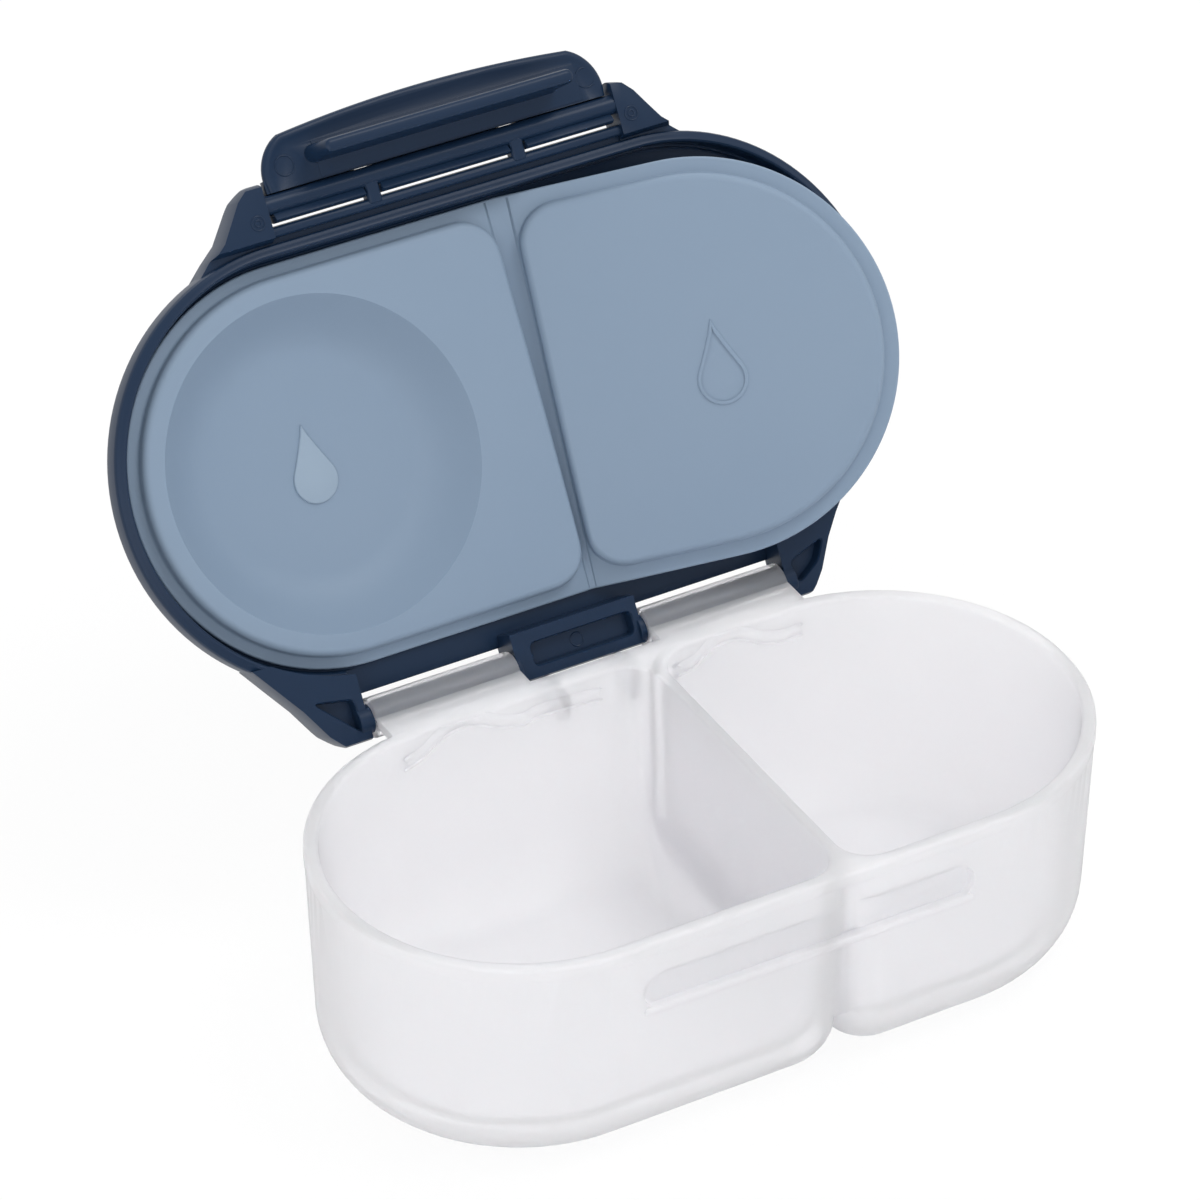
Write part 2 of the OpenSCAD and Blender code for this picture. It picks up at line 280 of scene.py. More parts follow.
# Blue-grey silicone rubber of the seal: matt, a little soft to the light.
BLUE_GREY_SILICONE = MouldedFinish(
    title="blue_grey_silicone",
    base="#8395A9",
    shade="#7F92A7",
    roughness_low=0.50,
    roughness_high=0.60,
    tone_scale=25.0,
    grain_scale=2200.0,
    grain_height=0.005,
    wave_scale=45.0,
    wave_height=0.05,
    subsurface=0.12,
    subsurface_mm=1.2,
    specular=0.3,
)

# The same silicone where the mould is matt, so it looks paler: the drop in the dish.
MATT_SILICONE = replace(
    BLUE_GREY_SILICONE,
    title="matt_silicone",
    base="#93A4B5",
    shade="#8FA1B3",
    roughness_low=0.65,
    roughness_high=0.72,
)


# Modelling bench


class Bench:
    """Operators and mesh code that the sub-assemblies share. Lengths are millimetres."""

    @staticmethod
    def clear() -> None:
        """Deselects everything and leaves edit mode."""
        if bpy.context.object is not None and bpy.context.object.mode != "OBJECT":
            bpy.ops.object.mode_set(mode="OBJECT")
        bpy.ops.object.select_all(action="DESELECT")

    @classmethod
    def take(cls, piece: Piece) -> None:
        """Makes a piece the only selected and the active one."""
        cls.clear()
        piece.select_set(True)
        bpy.context.view_layer.objects.active = piece

    @classmethod
    def edit(cls, piece: Piece, work: Callable[[], object]) -> None:
        """Runs work on a whole piece in edit mode.

        Args:
            piece: the mesh to edit.
            work: the operators to run.
        """
        cls.take(piece)
        bpy.ops.object.mode_set(mode="EDIT")
        bpy.ops.mesh.select_all(action="SELECT")
        work()
        bpy.ops.object.mode_set(mode="OBJECT")

    @classmethod
    def seal_up(cls, piece: Piece, gap: float = 0.0005) -> None:
        """Merges doubles and turns all faces outward.

        Args:
            piece: the piece.
            gap: points closer than this become one.
        """
        cls.edit(
            piece,
            lambda: (
                bpy.ops.mesh.remove_doubles(threshold=gap),
                bpy.ops.mesh.normals_make_consistent(inside=False),
            ),
        )

    @classmethod
    def loft(cls, name: str, rings: Sequence[Sequence[Point3]]) -> Piece:
        """Skins closed rings of equal count and caps both ends.

        Args:
            name: name of the new piece.
            rings: the rings in order.

        Returns:
            The closed piece.
        """
        count = len(rings[0])
        verts = [p for ring in rings for p in ring]
        faces: list[tuple[int, ...]] = []
        for level in range(len(rings) - 1):
            low, high = level * count, (level + 1) * count
            for i in range(count):
                j = (i + 1) % count
                faces.append((low + i, low + j, high + j, high + i))
        faces.append(tuple(range(count - 1, -1, -1)))
        last = (len(rings) - 1) * count
        faces.append(tuple(range(last, last + count)))
        return cls.mesh(name, verts, faces)

    @classmethod
    def mesh(cls, name: str, verts: Sequence[Point3], faces: Sequence[Sequence[int]]) -> Piece:
        """Makes a piece from points and faces and turns its faces outward.

        Args:
            name: name of the new piece.
            verts: the points.
            faces: the point numbers of each face.

        Returns:
            The new piece.
        """
        data = bpy.data.meshes.new(name)
        data.from_pydata([tuple(v) for v in verts], [], [tuple(f) for f in faces])
        data.update()
        piece = bpy.data.objects.new(name, data)
        bpy.context.scene.collection.objects.link(piece)
        cls.seal_up(piece)
        return piece

    @classmethod
    def prism(
        cls,
        name: str,
        outline: Sequence[Point2],
        low: float,
        high: float,
        round_low: float = 0.0,
        round_high: float = 0.0,
    ) -> Piece:
        """Extrudes an XY outline from low to high, with rounded edges where asked.

        Args:
            name: name of the new piece.
            outline: the outline.
            low: lower level.
            high: upper level.
            round_low: rounding of the lower edge.
            round_high: rounding of the upper edge.

        Returns:
            The closed piece.
        """
        edge = quarter(4)
        steps = [(low, 0.0)]
        if round_low > 0:
            steps = [(low + round_low * inset, round_low * drop) for drop, inset in edge]
        if round_high > 0:
            steps += [(high - round_high * drop, round_high * inset) for drop, inset in edge]
        else:
            steps.append((high, 0.0))
        return cls.stack(name, outline, steps)

    @classmethod
    def stack(
        cls, name: str, outline: Sequence[Point2], steps: Sequence[Point2], upright: bool = False
    ) -> Piece:
        """Skins one outline at several levels, each time with an inset of its own.

        Args:
            name: name of the new piece.
            outline: the outline in XY, or in XZ where upright.
            steps: (level, inset) pairs.
            upright: the levels run along Y and not along Z.

        Returns:
            The closed piece.
        """
        rings = []
        for level, inset in steps:
            plan = shrink(outline, inset)
            rings.append([(a, level, b) if upright else (a, b, level) for a, b in plan])
        return cls.loft(name, rings)

    @classmethod
    def lathe_x(cls, name: str, profile: Sequence[Point2], y: float, z: float) -> Piece:
        """Turns a profile of (x, radius) about a line along X at (y, z).

        Args:
            name: name of the new piece.
            profile: the (x, radius) pairs in order.
            y: y of the line.
            z: z of the line.

        Returns:
            The closed piece.
        """
        rings = []
        for x, radius in profile:
            circle = arc_points((y, z), radius, 0.0, 2 * math.pi, 64)
            rings.append([(x, a, b) for a, b in circle[:-1]])
        return cls.loft(name, rings)

    @classmethod
    def turn_z(cls, name: str, profile: Sequence[Point2], x: float) -> Piece:
        """Turns a profile of (radius, level) about a line along Z at x.

        Args:
            name: name of the new piece.
            profile: the (radius, level) pairs in order.
            x: x of the line.

        Returns:
            The closed piece.
        """
        rings = []
        for radius, level in profile:
            circle = arc_points((x, 0.0), radius, 0.0, 2 * math.pi, 128)
            rings.append([(a, b, level) for a, b in circle[:-1]])
        return cls.loft(name, rings)

    @classmethod
    def slab(cls, name: str, section: Sequence[Point2], low: float, high: float) -> Piece:
        """Extrudes a YZ section along X from low to high."""
        return cls.loft(name, [[(x, y, z) for y, z in section] for x in (low, high)])

    @classmethod
    def bar_x(
        cls, name: str, radius: float, low: float, high: float, y: float, z: float, soft: float
    ) -> Piece:
        """A round bar along X from low to high with rounded ends.

        Args:
            name: name of the new piece.
            radius: radius of the bar.
            low: x of the left end.
            high: x of the right end.
            y: y of its middle line.
            z: z of its middle line.
            soft: rounding of its ends.

        Returns:
            The closed piece.
        """
        tail = [(high - soft * drop, radius - soft * inset) for drop, inset in quarter(3)]
        head = [(low + high - x, r) for x, r in reversed(tail)]
        return cls.lathe_x(name, head + tail, y, z)

    @classmethod
    def tube(cls, name: str, path: Sequence[Point3], radius: float) -> Piece:
        """A round bead along a path that runs mainly along X, thinner at its ends.

        Args:
            name: name of the new piece.
            path: the points of its middle line.
            radius: radius of the bead.

        Returns:
            The closed bead.
        """
        rings = []
        for i, point in enumerate(path):
            before = Vector(path[max(i - 1, 0)])
            after = Vector(path[min(i + 1, len(path) - 1)])
            run = (after - before).normalized()
            side = run.cross(Vector((0.0, 1.0, 0.0))).normalized()
            out = side.cross(run)
            wide = radius * (0.35 if i in (0, len(path) - 1) else 1.0)
            circle = arc_points((0.0, 0.0), 1.0, 0.0, 2 * math.pi, 24)
            rings.append([Vector(point) + (side * a + out * b) * wide for a, b in circle[:-1]])
        return cls.loft(name, rings)

    @classmethod
    def block(cls, name: str, low: Point3, high: Point3, soft: float = 0.0) -> Piece:
        """A box between two corners, its edges rounded in edit mode.

        Args:
            name: name of the new piece.
            low: lowest corner.
            high: highest corner.
            soft: rounding of the edges.

        Returns:
            The closed piece.
        """
        cls.clear()
        centre = [(a + b) / 2 for a, b in zip(low, high)]
        size = [b - a for a, b in zip(low, high)]
        bpy.ops.mesh.primitive_cube_add(size=1.0, location=centre, scale=size)
        piece = bpy.context.object
        piece.name = name
        bpy.ops.object.transform_apply(location=True, rotation=True, scale=True)
        if soft > 0:
            cls.edit(piece, lambda: bpy.ops.mesh.bevel(offset=soft, segments=3))
        return piece

    @classmethod
    def ring_mark(cls, target: Piece, centre: Point3, radius: float, upright: bool = False) -> None:
        """Adds the fine raised ring that an ejector pin leaves.

        Args:
            target: the piece that gets the ring.
            centre: middle of the ring, on the face.
            radius: radius of the ring.
            upright: the face looks along Y and not along Z.
        """
        cls.clear()
        bpy.ops.mesh.primitive_torus_add(
            location=centre,
            rotation=(math.pi / 2 if upright else 0.0, 0.0, 0.0),
            major_radius=radius,
            minor_radius=0.17,
            major_segments=40,
            minor_segments=8,
        )
        ring = bpy.context.object
        bpy.ops.object.transform_apply(location=True, rotation=True, scale=True)
        ring.select_set(True)
        target.select_set(True)
        bpy.context.view_layer.objects.active = target
        bpy.ops.object.join()

    @classmethod
    def join(cls, target: Piece, tools: Sequence[Piece], operation: str) -> None:
        """Applies boolean tools to a target and removes them.

        Args:
            target: the piece that stays.
            tools: the pieces that are joined, cut or kept.
            operation: UNION, DIFFERENCE or INTERSECT.
        """
        for tool in tools:
            cls.take(target)
            modifier = target.modifiers.new("shape", "BOOLEAN")
            modifier.operation = operation
            modifier.solver = "EXACT"
            modifier.object = tool
            bpy.ops.object.modifier_apply(modifier=modifier.name)
            bpy.data.objects.remove(tool)

    @classmethod
    def soften(cls, piece: Piece, width: float, angle: float = 38.0, segments: int = 2) -> None:
        """Rounds the sharp edges of a piece with an applied bevel.

        Args:
            piece: the piece.
            width: width of the rounding.
            angle: edges sharper than this many degrees are rounded.
            segments: facets of the rounding.
        """
        cls.edit(
            piece,
            lambda: (
                bpy.ops.mesh.remove_doubles(threshold=0.002),
                bpy.ops.mesh.dissolve_limited(angle_limit=math.radians(0.4)),
            ),
        )
        cls.take(piece)
        modifier = piece.modifiers.new("soft_edges", "BEVEL")
        modifier.width = width
        modifier.segments = segments
        modifier.limit_method = "ANGLE"
        modifier.angle_limit = math.radians(angle)
        modifier.use_clamp_overlap = True
        modifier.harden_normals = False
        bpy.ops.object.modifier_apply(modifier=modifier.name)

    @classmethod
    def finish(
        cls,
        piece: Piece,
        materials: Sequence[Material],
        inside: Callable[[Vector], bool],
    ) -> None:
        """Gives a piece two finishes, the second one in a region.

        Args:
            piece: the piece in its closed pose, in millimetres.
            materials: the finish and the region's finish.
            inside: tells whether a face's middle is in the region.
        """
        piece.data.materials.clear()
        for material in materials:
            piece.data.materials.append(material)
        for face in piece.data.polygons:
            face.material_index = 1 if inside(face.center) else 0

    @classmethod
    def place(
        cls,
        piece: Piece,
        pose: Matrix,
        material: Material,
        angle: float = 32.0,
    ) -> None:
        """Swings a piece to its pose, turns it to metres and gives it its finish.

        Args:
            piece: the piece in its closed pose, in millimetres.
            pose: the turn to the open pose.
            material: its finish, unless it has two already.
            angle: edges sharper than this many degrees stay sharp in the shading.
        """
        piece.data.transform(pose)
        piece.data.transform(Matrix.Scale(MM, 4))
        cls.take(piece)
        bpy.ops.object.shade_smooth_by_angle(angle=math.radians(angle))
        if len(piece.data.materials) < 2:
            piece.data.materials.clear()
            piece.data.materials.append(material)
        piece.data.validate()


def shrink(outline: Sequence[Point2], inset: float) -> list[Point2]:
    """Moves each point of a closed outline inward along its mean normal.

    Args:
        outline: the outline, anticlockwise.
        inset: distance inward.

    Returns:
        The inner outline with as many points.
    """
    if inset == 0:
        return list(outline)
    points = np.array(outline, float)
    after = np.roll(points, -1, axis=0)
    area = 0.5 * np.sum(points[:, 0] * after[:, 1] - after[:, 0] * points[:, 1])
    run = (after - points) * (1.0 if area > 0 else -1.0)
    run /= np.maximum(np.linalg.norm(run, axis=1, keepdims=True), 1e-9)
    second = np.stack([-run[:, 1], run[:, 0]], axis=1)
    first = np.roll(second, 1, axis=0)
    mean = first + second
    mean /= np.maximum(np.linalg.norm(mean, axis=1, keepdims=True), 1e-9)
    reach = inset / np.maximum(np.sum(mean * first, axis=1, keepdims=True), 0.5)
    return [(float(x), float(y)) for x, y in points + mean * reach]


def smooth_path(points: Sequence[Point2]) -> list[Point2]:
    """Passes a smooth open curve through a few points, in six steps from each to the next.

    Args:
        points: the points.

    Returns:
        The points of the curve.
    """
    path: list[Point2] = []
    last = len(points) - 1
    for i in range(last):
        p0, p1 = np.array(points[max(i - 1, 0)]), np.array(points[i])
        p2, p3 = np.array(points[i + 1]), np.array(points[min(i + 2, last)])
        for k in range(6):
            t = k / 6
            a = 2 * p1 + (p2 - p0) * t + (2 * p0 - 5 * p1 + 4 * p2 - p3) * t * t
            point = 0.5 * (a + (3 * p1 - p0 - 3 * p2 + p3) * t**3)
            path.append((float(point[0]), float(point[1])))
    path.append((float(points[last][0]), float(points[last][1])))
    return path


def round_corners(points: Sequence[Point2], radius: float) -> list[Point2]:
    """Rounds each corner of a closed outline with an arc-like curve.

    Args:
        points: the corners.
        radius: distance from a corner at which the curve starts.

    Returns:
        The rounded outline.
    """
    path: list[Point2] = []
    for i, corner in enumerate(points):
        here = Vector(corner)
        before = Vector(points[i - 1]) - here
        after = Vector(points[(i + 1) % len(points)]) - here
        start = here + before.normalized() * min(radius, before.length * 0.45)
        end = here + after.normalized() * min(radius, after.length * 0.45)
        for k in range(6):
            t = k / 5
            point = start * (1 - t) ** 2 + here * 2 * t * (1 - t) + end * t * t
            path.append((point.x, point.y))
    return path


def arc_points(centre: Point2, radius: float, start: float, end: float, steps: int) -> list[Point2]:
    """Points of an arc about a centre, from one angle to another, in radians."""
    turns = [start + (end - start) * i / steps for i in range(steps + 1)]
    return [(centre[0] + radius * math.cos(t), centre[1] + radius * math.sin(t)) for t in turns]


def quarter(steps: int) -> list[Point2]:
    """A rounded edge of radius 1 from its side to its crest, as (drop, inset) pairs."""
    turns = [math.pi / 2 * k / steps for k in range(steps + 1)]
    return [(1 - math.sin(t), 1 - math.cos(t)) for t in turns]


def stadium(radius: float, half: float, turns: int = 48, side: int = 24) -> list[Point2]:
    """Closed outline with two round ends and straight sides, anticlockwise.

    Args:
        radius: radius of the round ends.
        half: distance from the middle to the centre of an end.
        turns: segments of each end.
        side: segments of each straight side.

    Returns:
        The closed outline.
    """
    points = arc_points((half, 0.0), radius, -math.pi / 2, math.pi / 2, turns)
    points += [(half - 2 * half * i / side, radius) for i in range(1, side)]
    points += arc_points((-half, 0.0), radius, math.pi / 2, math.pi * 1.5, turns)
    points += [(-half + 2 * half * i / side, -radius) for i in range(1, side)]
    return points


def half_plan(
    side: int, face: float, radius: float, corner: float, half: float, turns: int = 40
) -> list[Point2]:
    """Plan of a cup or a pad: a round outer end and a flat face with two corners.

    Args:
        side: -1 for the left half, 1 for the right half.
        face: x of the flat face.
        radius: radius of the round end.
        corner: radius of the corners at the face.
        half: distance from the middle to the centre of the round end.
        turns: segments of the round end.

    Returns:
        The closed outline.
    """
    inner = side * face + corner
    run = half - inner
    tall = 2 * (radius - corner)
    points = arc_points((inner, corner - radius), corner, math.pi, math.pi * 1.5, 8)
    points += [(inner + run * i / 10, -radius) for i in range(1, 10)]
    points += arc_points((half, 0.0), radius, -math.pi / 2, math.pi / 2, turns)
    points += [(half - run * i / 10, radius) for i in range(1, 10)]
    points += arc_points((inner, radius - corner), corner, math.pi / 2, math.pi, 8)
    points += [(side * face, radius - corner - tall * i / 12) for i in range(1, 12)]
    return [(side * x, y) for x, y in points]


# Shared layout


@dataclass(frozen=True)
class Layout:
    """Sizes that more than one sub-assembly uses, in millimetres, closed pose."""

    height: float = 48.5
    half_span: float = 40.0
    rim_r: float = 40.0
    wall: float = 2.8
    divider_x: float = 9.2
    divider_t: float = 2.4
    hinge_y: float = 48.97
    hinge_z: float = 46.25
    barrel_x: float = 29.85
    barrel_length: float = 31.3
    barrel_r: float = 4.0
    bore_r: float = 2.9
    rod_y: float = -50.0
    rod_z: float = 45.8
    post_x: float = 15.7
    post_t: float = 3.0
    open_angle: float = 123.0
    clip_angle: float = 95.0
    fold_angle: float = 22.0
    fold_slant: float = 8.0
    sheet_low: float = 49.0
    sheet_t: float = 1.1

    def swing(self) -> Matrix:
        """Turn from the closed lid to the open lid."""
        return turn_about((0, self.hinge_y, self.hinge_z), (1, 0, 0), -self.open_angle)

    def clip_swing(self) -> Matrix:
        """Turn from the closed clip to the open clip on the open lid."""
        return self.swing() @ turn_about((0, self.rod_y, self.rod_z), (1, 0, 0), -self.clip_angle)

    def fold(self, share: float) -> Matrix:
        """Turn of the folded half of the seal, before the lid's swing.

        Args:
            share: how much of the fold, from 0 to 1.

        Returns:
            The turn.
        """
        slant = math.radians(self.fold_slant)
        axis = (0, math.cos(slant), math.sin(slant))
        centre = (self.divider_x, 0, self.sheet_low + self.sheet_t / 2)
        return turn_about(centre, axis, self.fold_angle * share)


def turn_about(centre: Point3, axis: Point3, degrees: float) -> Matrix:
    """Rotation by degrees about an axis through a point."""
    there = Matrix.Translation(Vector(centre))
    return there @ Matrix.Rotation(math.radians(degrees), 4, Vector(axis)) @ there.inverted()


# Tub


@dataclass
class Tub:
    """The milky tub with two cups, the latch recess and the hinge barrels."""

    at: Layout
    floor_t: float = 4.0
    rim_depth: float = 3.0
    draft: float = 2.1
    bottom_round: float = 9.7
    bottom_rise: float = 11.64
    divider_round: float = 6.0
    cup_corner: float = 7.0
    rim_soft: float = 0.7
    cup_gap: float = 0.9
    recess_low: float = 32.5
    recess_height: float = 8.0
    recess_length: float = 71.0
    recess_depth: float = 1.4
    catch_t: float = 1.6
    catch_proud: float = 0.7
    hump_back: float = 3.6
    hump_r: float = 22.0
    bulge_back: float = 1.7
    stop_rib_x: float = 8.0
    stop_rib_t: float = 2.4
    stop_rib_front: float = 38.9
    stop_rib_back: float = 51.0
    stop_rib_low: float = 38.5
    stop_rib_top: float = 44.05
    stop_seats: tuple[Point3, ...] = ((5.15, 50.29, 47.74), (3.46, 48.97, 46.25))
    ledge_roll: float = 1.6
    ledge_proud: float = 0.27
    ledge_half: float = 1.15
    groove_shift: float = 1.25
    groove_r: float = 0.42
    groove_deep: float = 0.36
    crease_levels: tuple[float, ...] = (11.5, 14.0, 20.0, 30.0, 40.0, 47.0)
    crease_sink: float = 1.2
    crease_half: float = 2.2
    crease_in: float = 36.2
    crease_out: float = 39.0
    crease_bow: float = 0.29
    left_wave: tuple[Point2, ...] = (
        (-44.7, 41.4), (-40.4, 42.8), (-36.0, 45.9), (-31.7, 46.8), (-27.3, 45.8),
        (-23.0, 43.8), (-18.7, 42.7), (-15.4, 43.4), (-8.0, 43.2), (-1.1, 42.5),
    )
    right_wave: tuple[Point2, ...] = (
        (14.0, 42.1), (18.9, 42.7), (22.3, 45.1), (25.6, 46.2), (30.1, 45.6),
        (34.7, 43.1), (39.2, 41.9), (43.8, 42.2),
    )

    def cup(self, name: str, side: int, face: float, inset: float, floor: float, lip: float) -> Piece:
        """One cup as a closed form.

        Args:
            name: name of the form.
            side: -1 left, 1 right.
            face: x of the dividing face at the rim.
            inset: distance from the rim's outside.
            floor: level of the cup's floor.
            lip: how much the mouth opens at the top; 0 for the outside.

        Returns:
            The closed form.
        """
        rings: list[list[Point3]] = []
        high, outside = self.at.height, self.at.rim_r - inset
        for sink, pull in reversed(quarter(12)):
            rise = self.bottom_rise * sink
            lean = self._lean(floor + rise)
            face_k = face + side * (lean + self.divider_round * pull)
            radius = outside - lean - self.bottom_round * pull
            rings.append(self._ring(side, face_k, radius, floor + rise))
        middle = (high + floor + self.bottom_rise) / 2
        lean = self._lean(middle)
        rings.append(self._ring(side, face + side * lean, outside - lean, middle))
        levels = [(high - self.cup_gap, -0.06)]
        if lip > 0:
            levels = [(high - lip * drop, lip * out) for drop, out in quarter(4)]
            levels.append((high + 1.0, lip + 0.4))
        for level, out in levels:
            rings.append(self._ring(side, face - side * out, outside + out, level))
        return Bench.loft(name, rings)

    def _lean(self, level: float) -> float:
        """How far the walls lean in at a level, measured from the rim."""
        return (self.at.height - level) * math.tan(math.radians(self.draft))

    def _ring(self, side: int, face: float, radius: float, level: float) -> list[Point3]:
        """One level of a cup's plan."""
        plan = half_plan(side, face, radius, self.cup_corner, self.at.half_span)
        return [(x, y, level) for x, y in plan]

    def rim(self) -> Piece:
        """The band that joins the two cups, with a rounded outer edge.

        Returns:
            The band.
        """
        high, low = self.at.height, self.at.height - self.rim_depth
        steps = [(low, 0.35), (low + 0.12, 0.12), (low + 0.4, 0.0)]
        steps += [(high - self.rim_soft * drop, self.rim_soft * out) for drop, out in quarter(4)]
        rings = []
        for level, back in steps:
            plan = stadium(self.at.rim_r - back, self.at.half_span)
            rings.append([(x, y, level) for x, y in plan])
        return Bench.loft("rim", rings)

    def hinge_parts(self) -> list[Piece]:
        """Barrels, webs, humps and the two stop ribs behind the rear wall.

        Returns:
            The parts.
        """
        at = self.at
        parts: list[Piece] = []
        inner = at.rim_r - at.wall
        base = at.height - self.rim_depth
        for side in (-1, 1):
            low = side * at.barrel_x - at.barrel_length / 2
            high = low + at.barrel_length
            parts.append(Bench.bar_x("barrel", at.barrel_r, low, high, at.hinge_y, at.hinge_z, 0.45))
            corner = (low, inner + 0.6, at.hinge_z)
            parts.append(Bench.block("web", corner, (high, at.hinge_y, at.height - 0.06), 0.25))
            plan = self._hump_plan(side * at.barrel_x, inner - 1.5)
            parts.append(Bench.prism("hump", plan, base, at.height - 0.03, 0.5, 0.5))
            parts.append(self._stop_rib(side * self.stop_rib_x))
        corner = (at.barrel_x, at.rim_r + self.bulge_back, at.height - 0.015)
        parts.append(Bench.block("bulge", (-at.barrel_x, inner + 0.6, base), corner, 0.5))
        return parts

    def _hump_plan(self, middle: float, front: float) -> list[Point2]:
        """Plan of the rim's hump behind one cup.

        Args:
            middle: x of its middle.
            front: y of its straight front.

        Returns:
            The closed outline.
        """
        centre = self.at.rim_r + self.hump_back - self.hump_r
        half = self.at.barrel_length / 2
        reach = math.asin(half / self.hump_r)
        points = [(middle - half, front), (middle + half, front)]
        start, end = math.pi / 2 - reach, math.pi / 2 + reach
        return points + arc_points((middle, centre), self.hump_r, start, end, 24)

    def _stop_rib(self, x: float) -> Piece:
        """A rib under the hinge block that the open lid rests on, with seats for the block.

        Args:
            x: x of its middle.

        Returns:
            The rib.
        """
        low, high = self.stop_rib_low, self.stop_rib_top
        half = self.stop_rib_t / 2
        corner = (x + half, self.stop_rib_back, high)
        rib = Bench.block("stop_rib", (x - half, self.stop_rib_front, low), corner, 0.4)
        seats = []
        for radius, y, z in self.stop_seats:
            seats.append(Bench.lathe_x("seat", [(x - 3, radius), (x + 3, radius)], y, z))
        Bench.join(rib, seats, "DIFFERENCE")
        return rib

    def build(self, material: Material) -> Piece:
        """Models the tub and puts it on its body.

        Args:
            material: the finish.

        Returns:
            The finished piece.
        """
        at = self.at
        half_t = at.divider_t / 2
        tub = self.cup("tub_body", -1, at.divider_x + half_t, 0.0, 0.0, 0.0)
        right = self.cup("right", 1, at.divider_x - half_t, 0.0, 0.0, 0.0)
        creases = [self._crease_fill(-1), self._crease_fill(1)]
        Bench.join(tub, [right, *creases, self.rim(), *self.hinge_parts()], "UNION")
        cups = [
            self.cup("hollow", -1, at.divider_x - half_t, at.wall, self.floor_t, self.rim_soft),
            self.cup("hollow", 1, at.divider_x + half_t, at.wall, self.floor_t, self.rim_soft),
        ]
        bore = Bench.lathe_x("bore", [(-60, at.bore_r), (60, at.bore_r)], at.hinge_y, at.hinge_z)
        Bench.join(tub, [*cups, bore, self._recess()], "DIFFERENCE")
        for shift in (self.groove_shift, -self.groove_shift):
            Bench.join(tub, self._ledges(shift, self.groove_r, self.groove_deep), "DIFFERENCE")
        bands = self._ledges(0.0, self.ledge_roll, self.ledge_proud)
        Bench.join(tub, [self._catch(), *bands], "UNION")
        Bench.seal_up(tub, 0.003)
        Bench.finish(tub, (material, CLEAR_POLYPROPYLENE.build()), self._on_barrel)
        Bench.place(tub, Matrix.Identity(4), material, 35.0)
        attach(tub, Body.TUB.value)
        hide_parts("base_tub")
        return tub

    def _on_barrel(self, point: Vector) -> bool:
        """Tells whether a point lies on a barrel."""
        reach = math.hypot(point.y - self.at.hinge_y, point.z - self.at.hinge_z)
        return reach < self.at.barrel_r + 0.1 and point.y > self.at.rim_r + 2.0

    def _front_plan(self, middle: float, height: float) -> list[Point2]:
        """Outline in XZ of the recess or the catch."""
        half = (self.recess_length - height) / 2
        return [(x, z + middle) for x, z in stadium(height / 2, half, 16, 12)]

    def _recess(self) -> Piece:
        """Cutter of the latch recess in the front wall, with a soft inner edge.

        Returns:
            The cutter.
        """
        middle = self.recess_low + self.recess_height / 2
        deep = -self.at.rim_r + self.recess_depth + self._lean(middle)
        plan = self._front_plan(middle, self.recess_height)
        steps = ((-42.0, -0.5), (deep - 1.0, 0.0), (deep - 0.35, 0.1), (deep, 0.5))
        return Bench.stack("recess", plan, steps, True)

    def _wall_face(self, level: float) -> float:
        """y of the rear wall's inner face at a level."""
        return self.at.rim_r - self.at.wall - self._lean(level)

    def _ledges(self, shift: float, radius: float, proud: float) -> list[Piece]:
        """The two waved bands inside the rear wall, or the fine grooves along them.

        Args:
            shift: height over the band's middle line.
            radius: radius of the round bar.
            proud: how far it stands out of the wall's face.

        Returns:
            One bar for each cup.
        """
        parts = []
        for wave in (self.left_wave, self.right_wave):
            path = []
            for x, z in smooth_path(wave):
                level = min(z + self.ledge_half + shift, self.at.height - 0.5)
                path.append((x, self._wall_face(level) + radius - proud, level))
            bar = Bench.tube("waved_band", path, radius)
            top = self.at.height - 0.13 - radius / 10
            Bench.join(bar, [Bench.block("over", (-70, 30, top), (70, 45, 60))], "DIFFERENCE")
            parts.append(bar)
        return parts

    def _crease_fill(self, side: int) -> Piece:
        """Soft fillet in the groove where the two cups meet.

        Args:
            side: -1 front, 1 back.

        Returns:
            The closed form.
        """
        rings = []
        for i, level in enumerate(self.crease_levels):
            lean = self._lean(level)
            half = self.crease_half + lean
            out = self.crease_out - lean - (0.0 if i else self.crease_sink)
            ring = [(half, self.crease_in - lean), (-half, self.crease_in - lean)]
            for k in range(9):
                share = k / 4 - 1
                ring.append((half * share, out - self.crease_bow * half * (1 - share**2)))
            rings.append([(self.at.divider_x + x, side * y, level) for x, y in ring])
        return Bench.loft("crease_fill", rings)

    def _catch(self) -> Piece:
        """Catch rib on the lower edge of the recess.

        Returns:
            The rib.
        """
        front = -self.at.rim_r - self.catch_proud + self._lean(self.recess_low)
        plan = self._front_plan(self.recess_low, self.catch_t)
        steps = ((front, 0.45), (front + 0.12, 0.2), (front + 0.4, 0.0), (front + 2.2, 0.0))
        return Bench.stack("catch", plan, steps, True)


# Lid


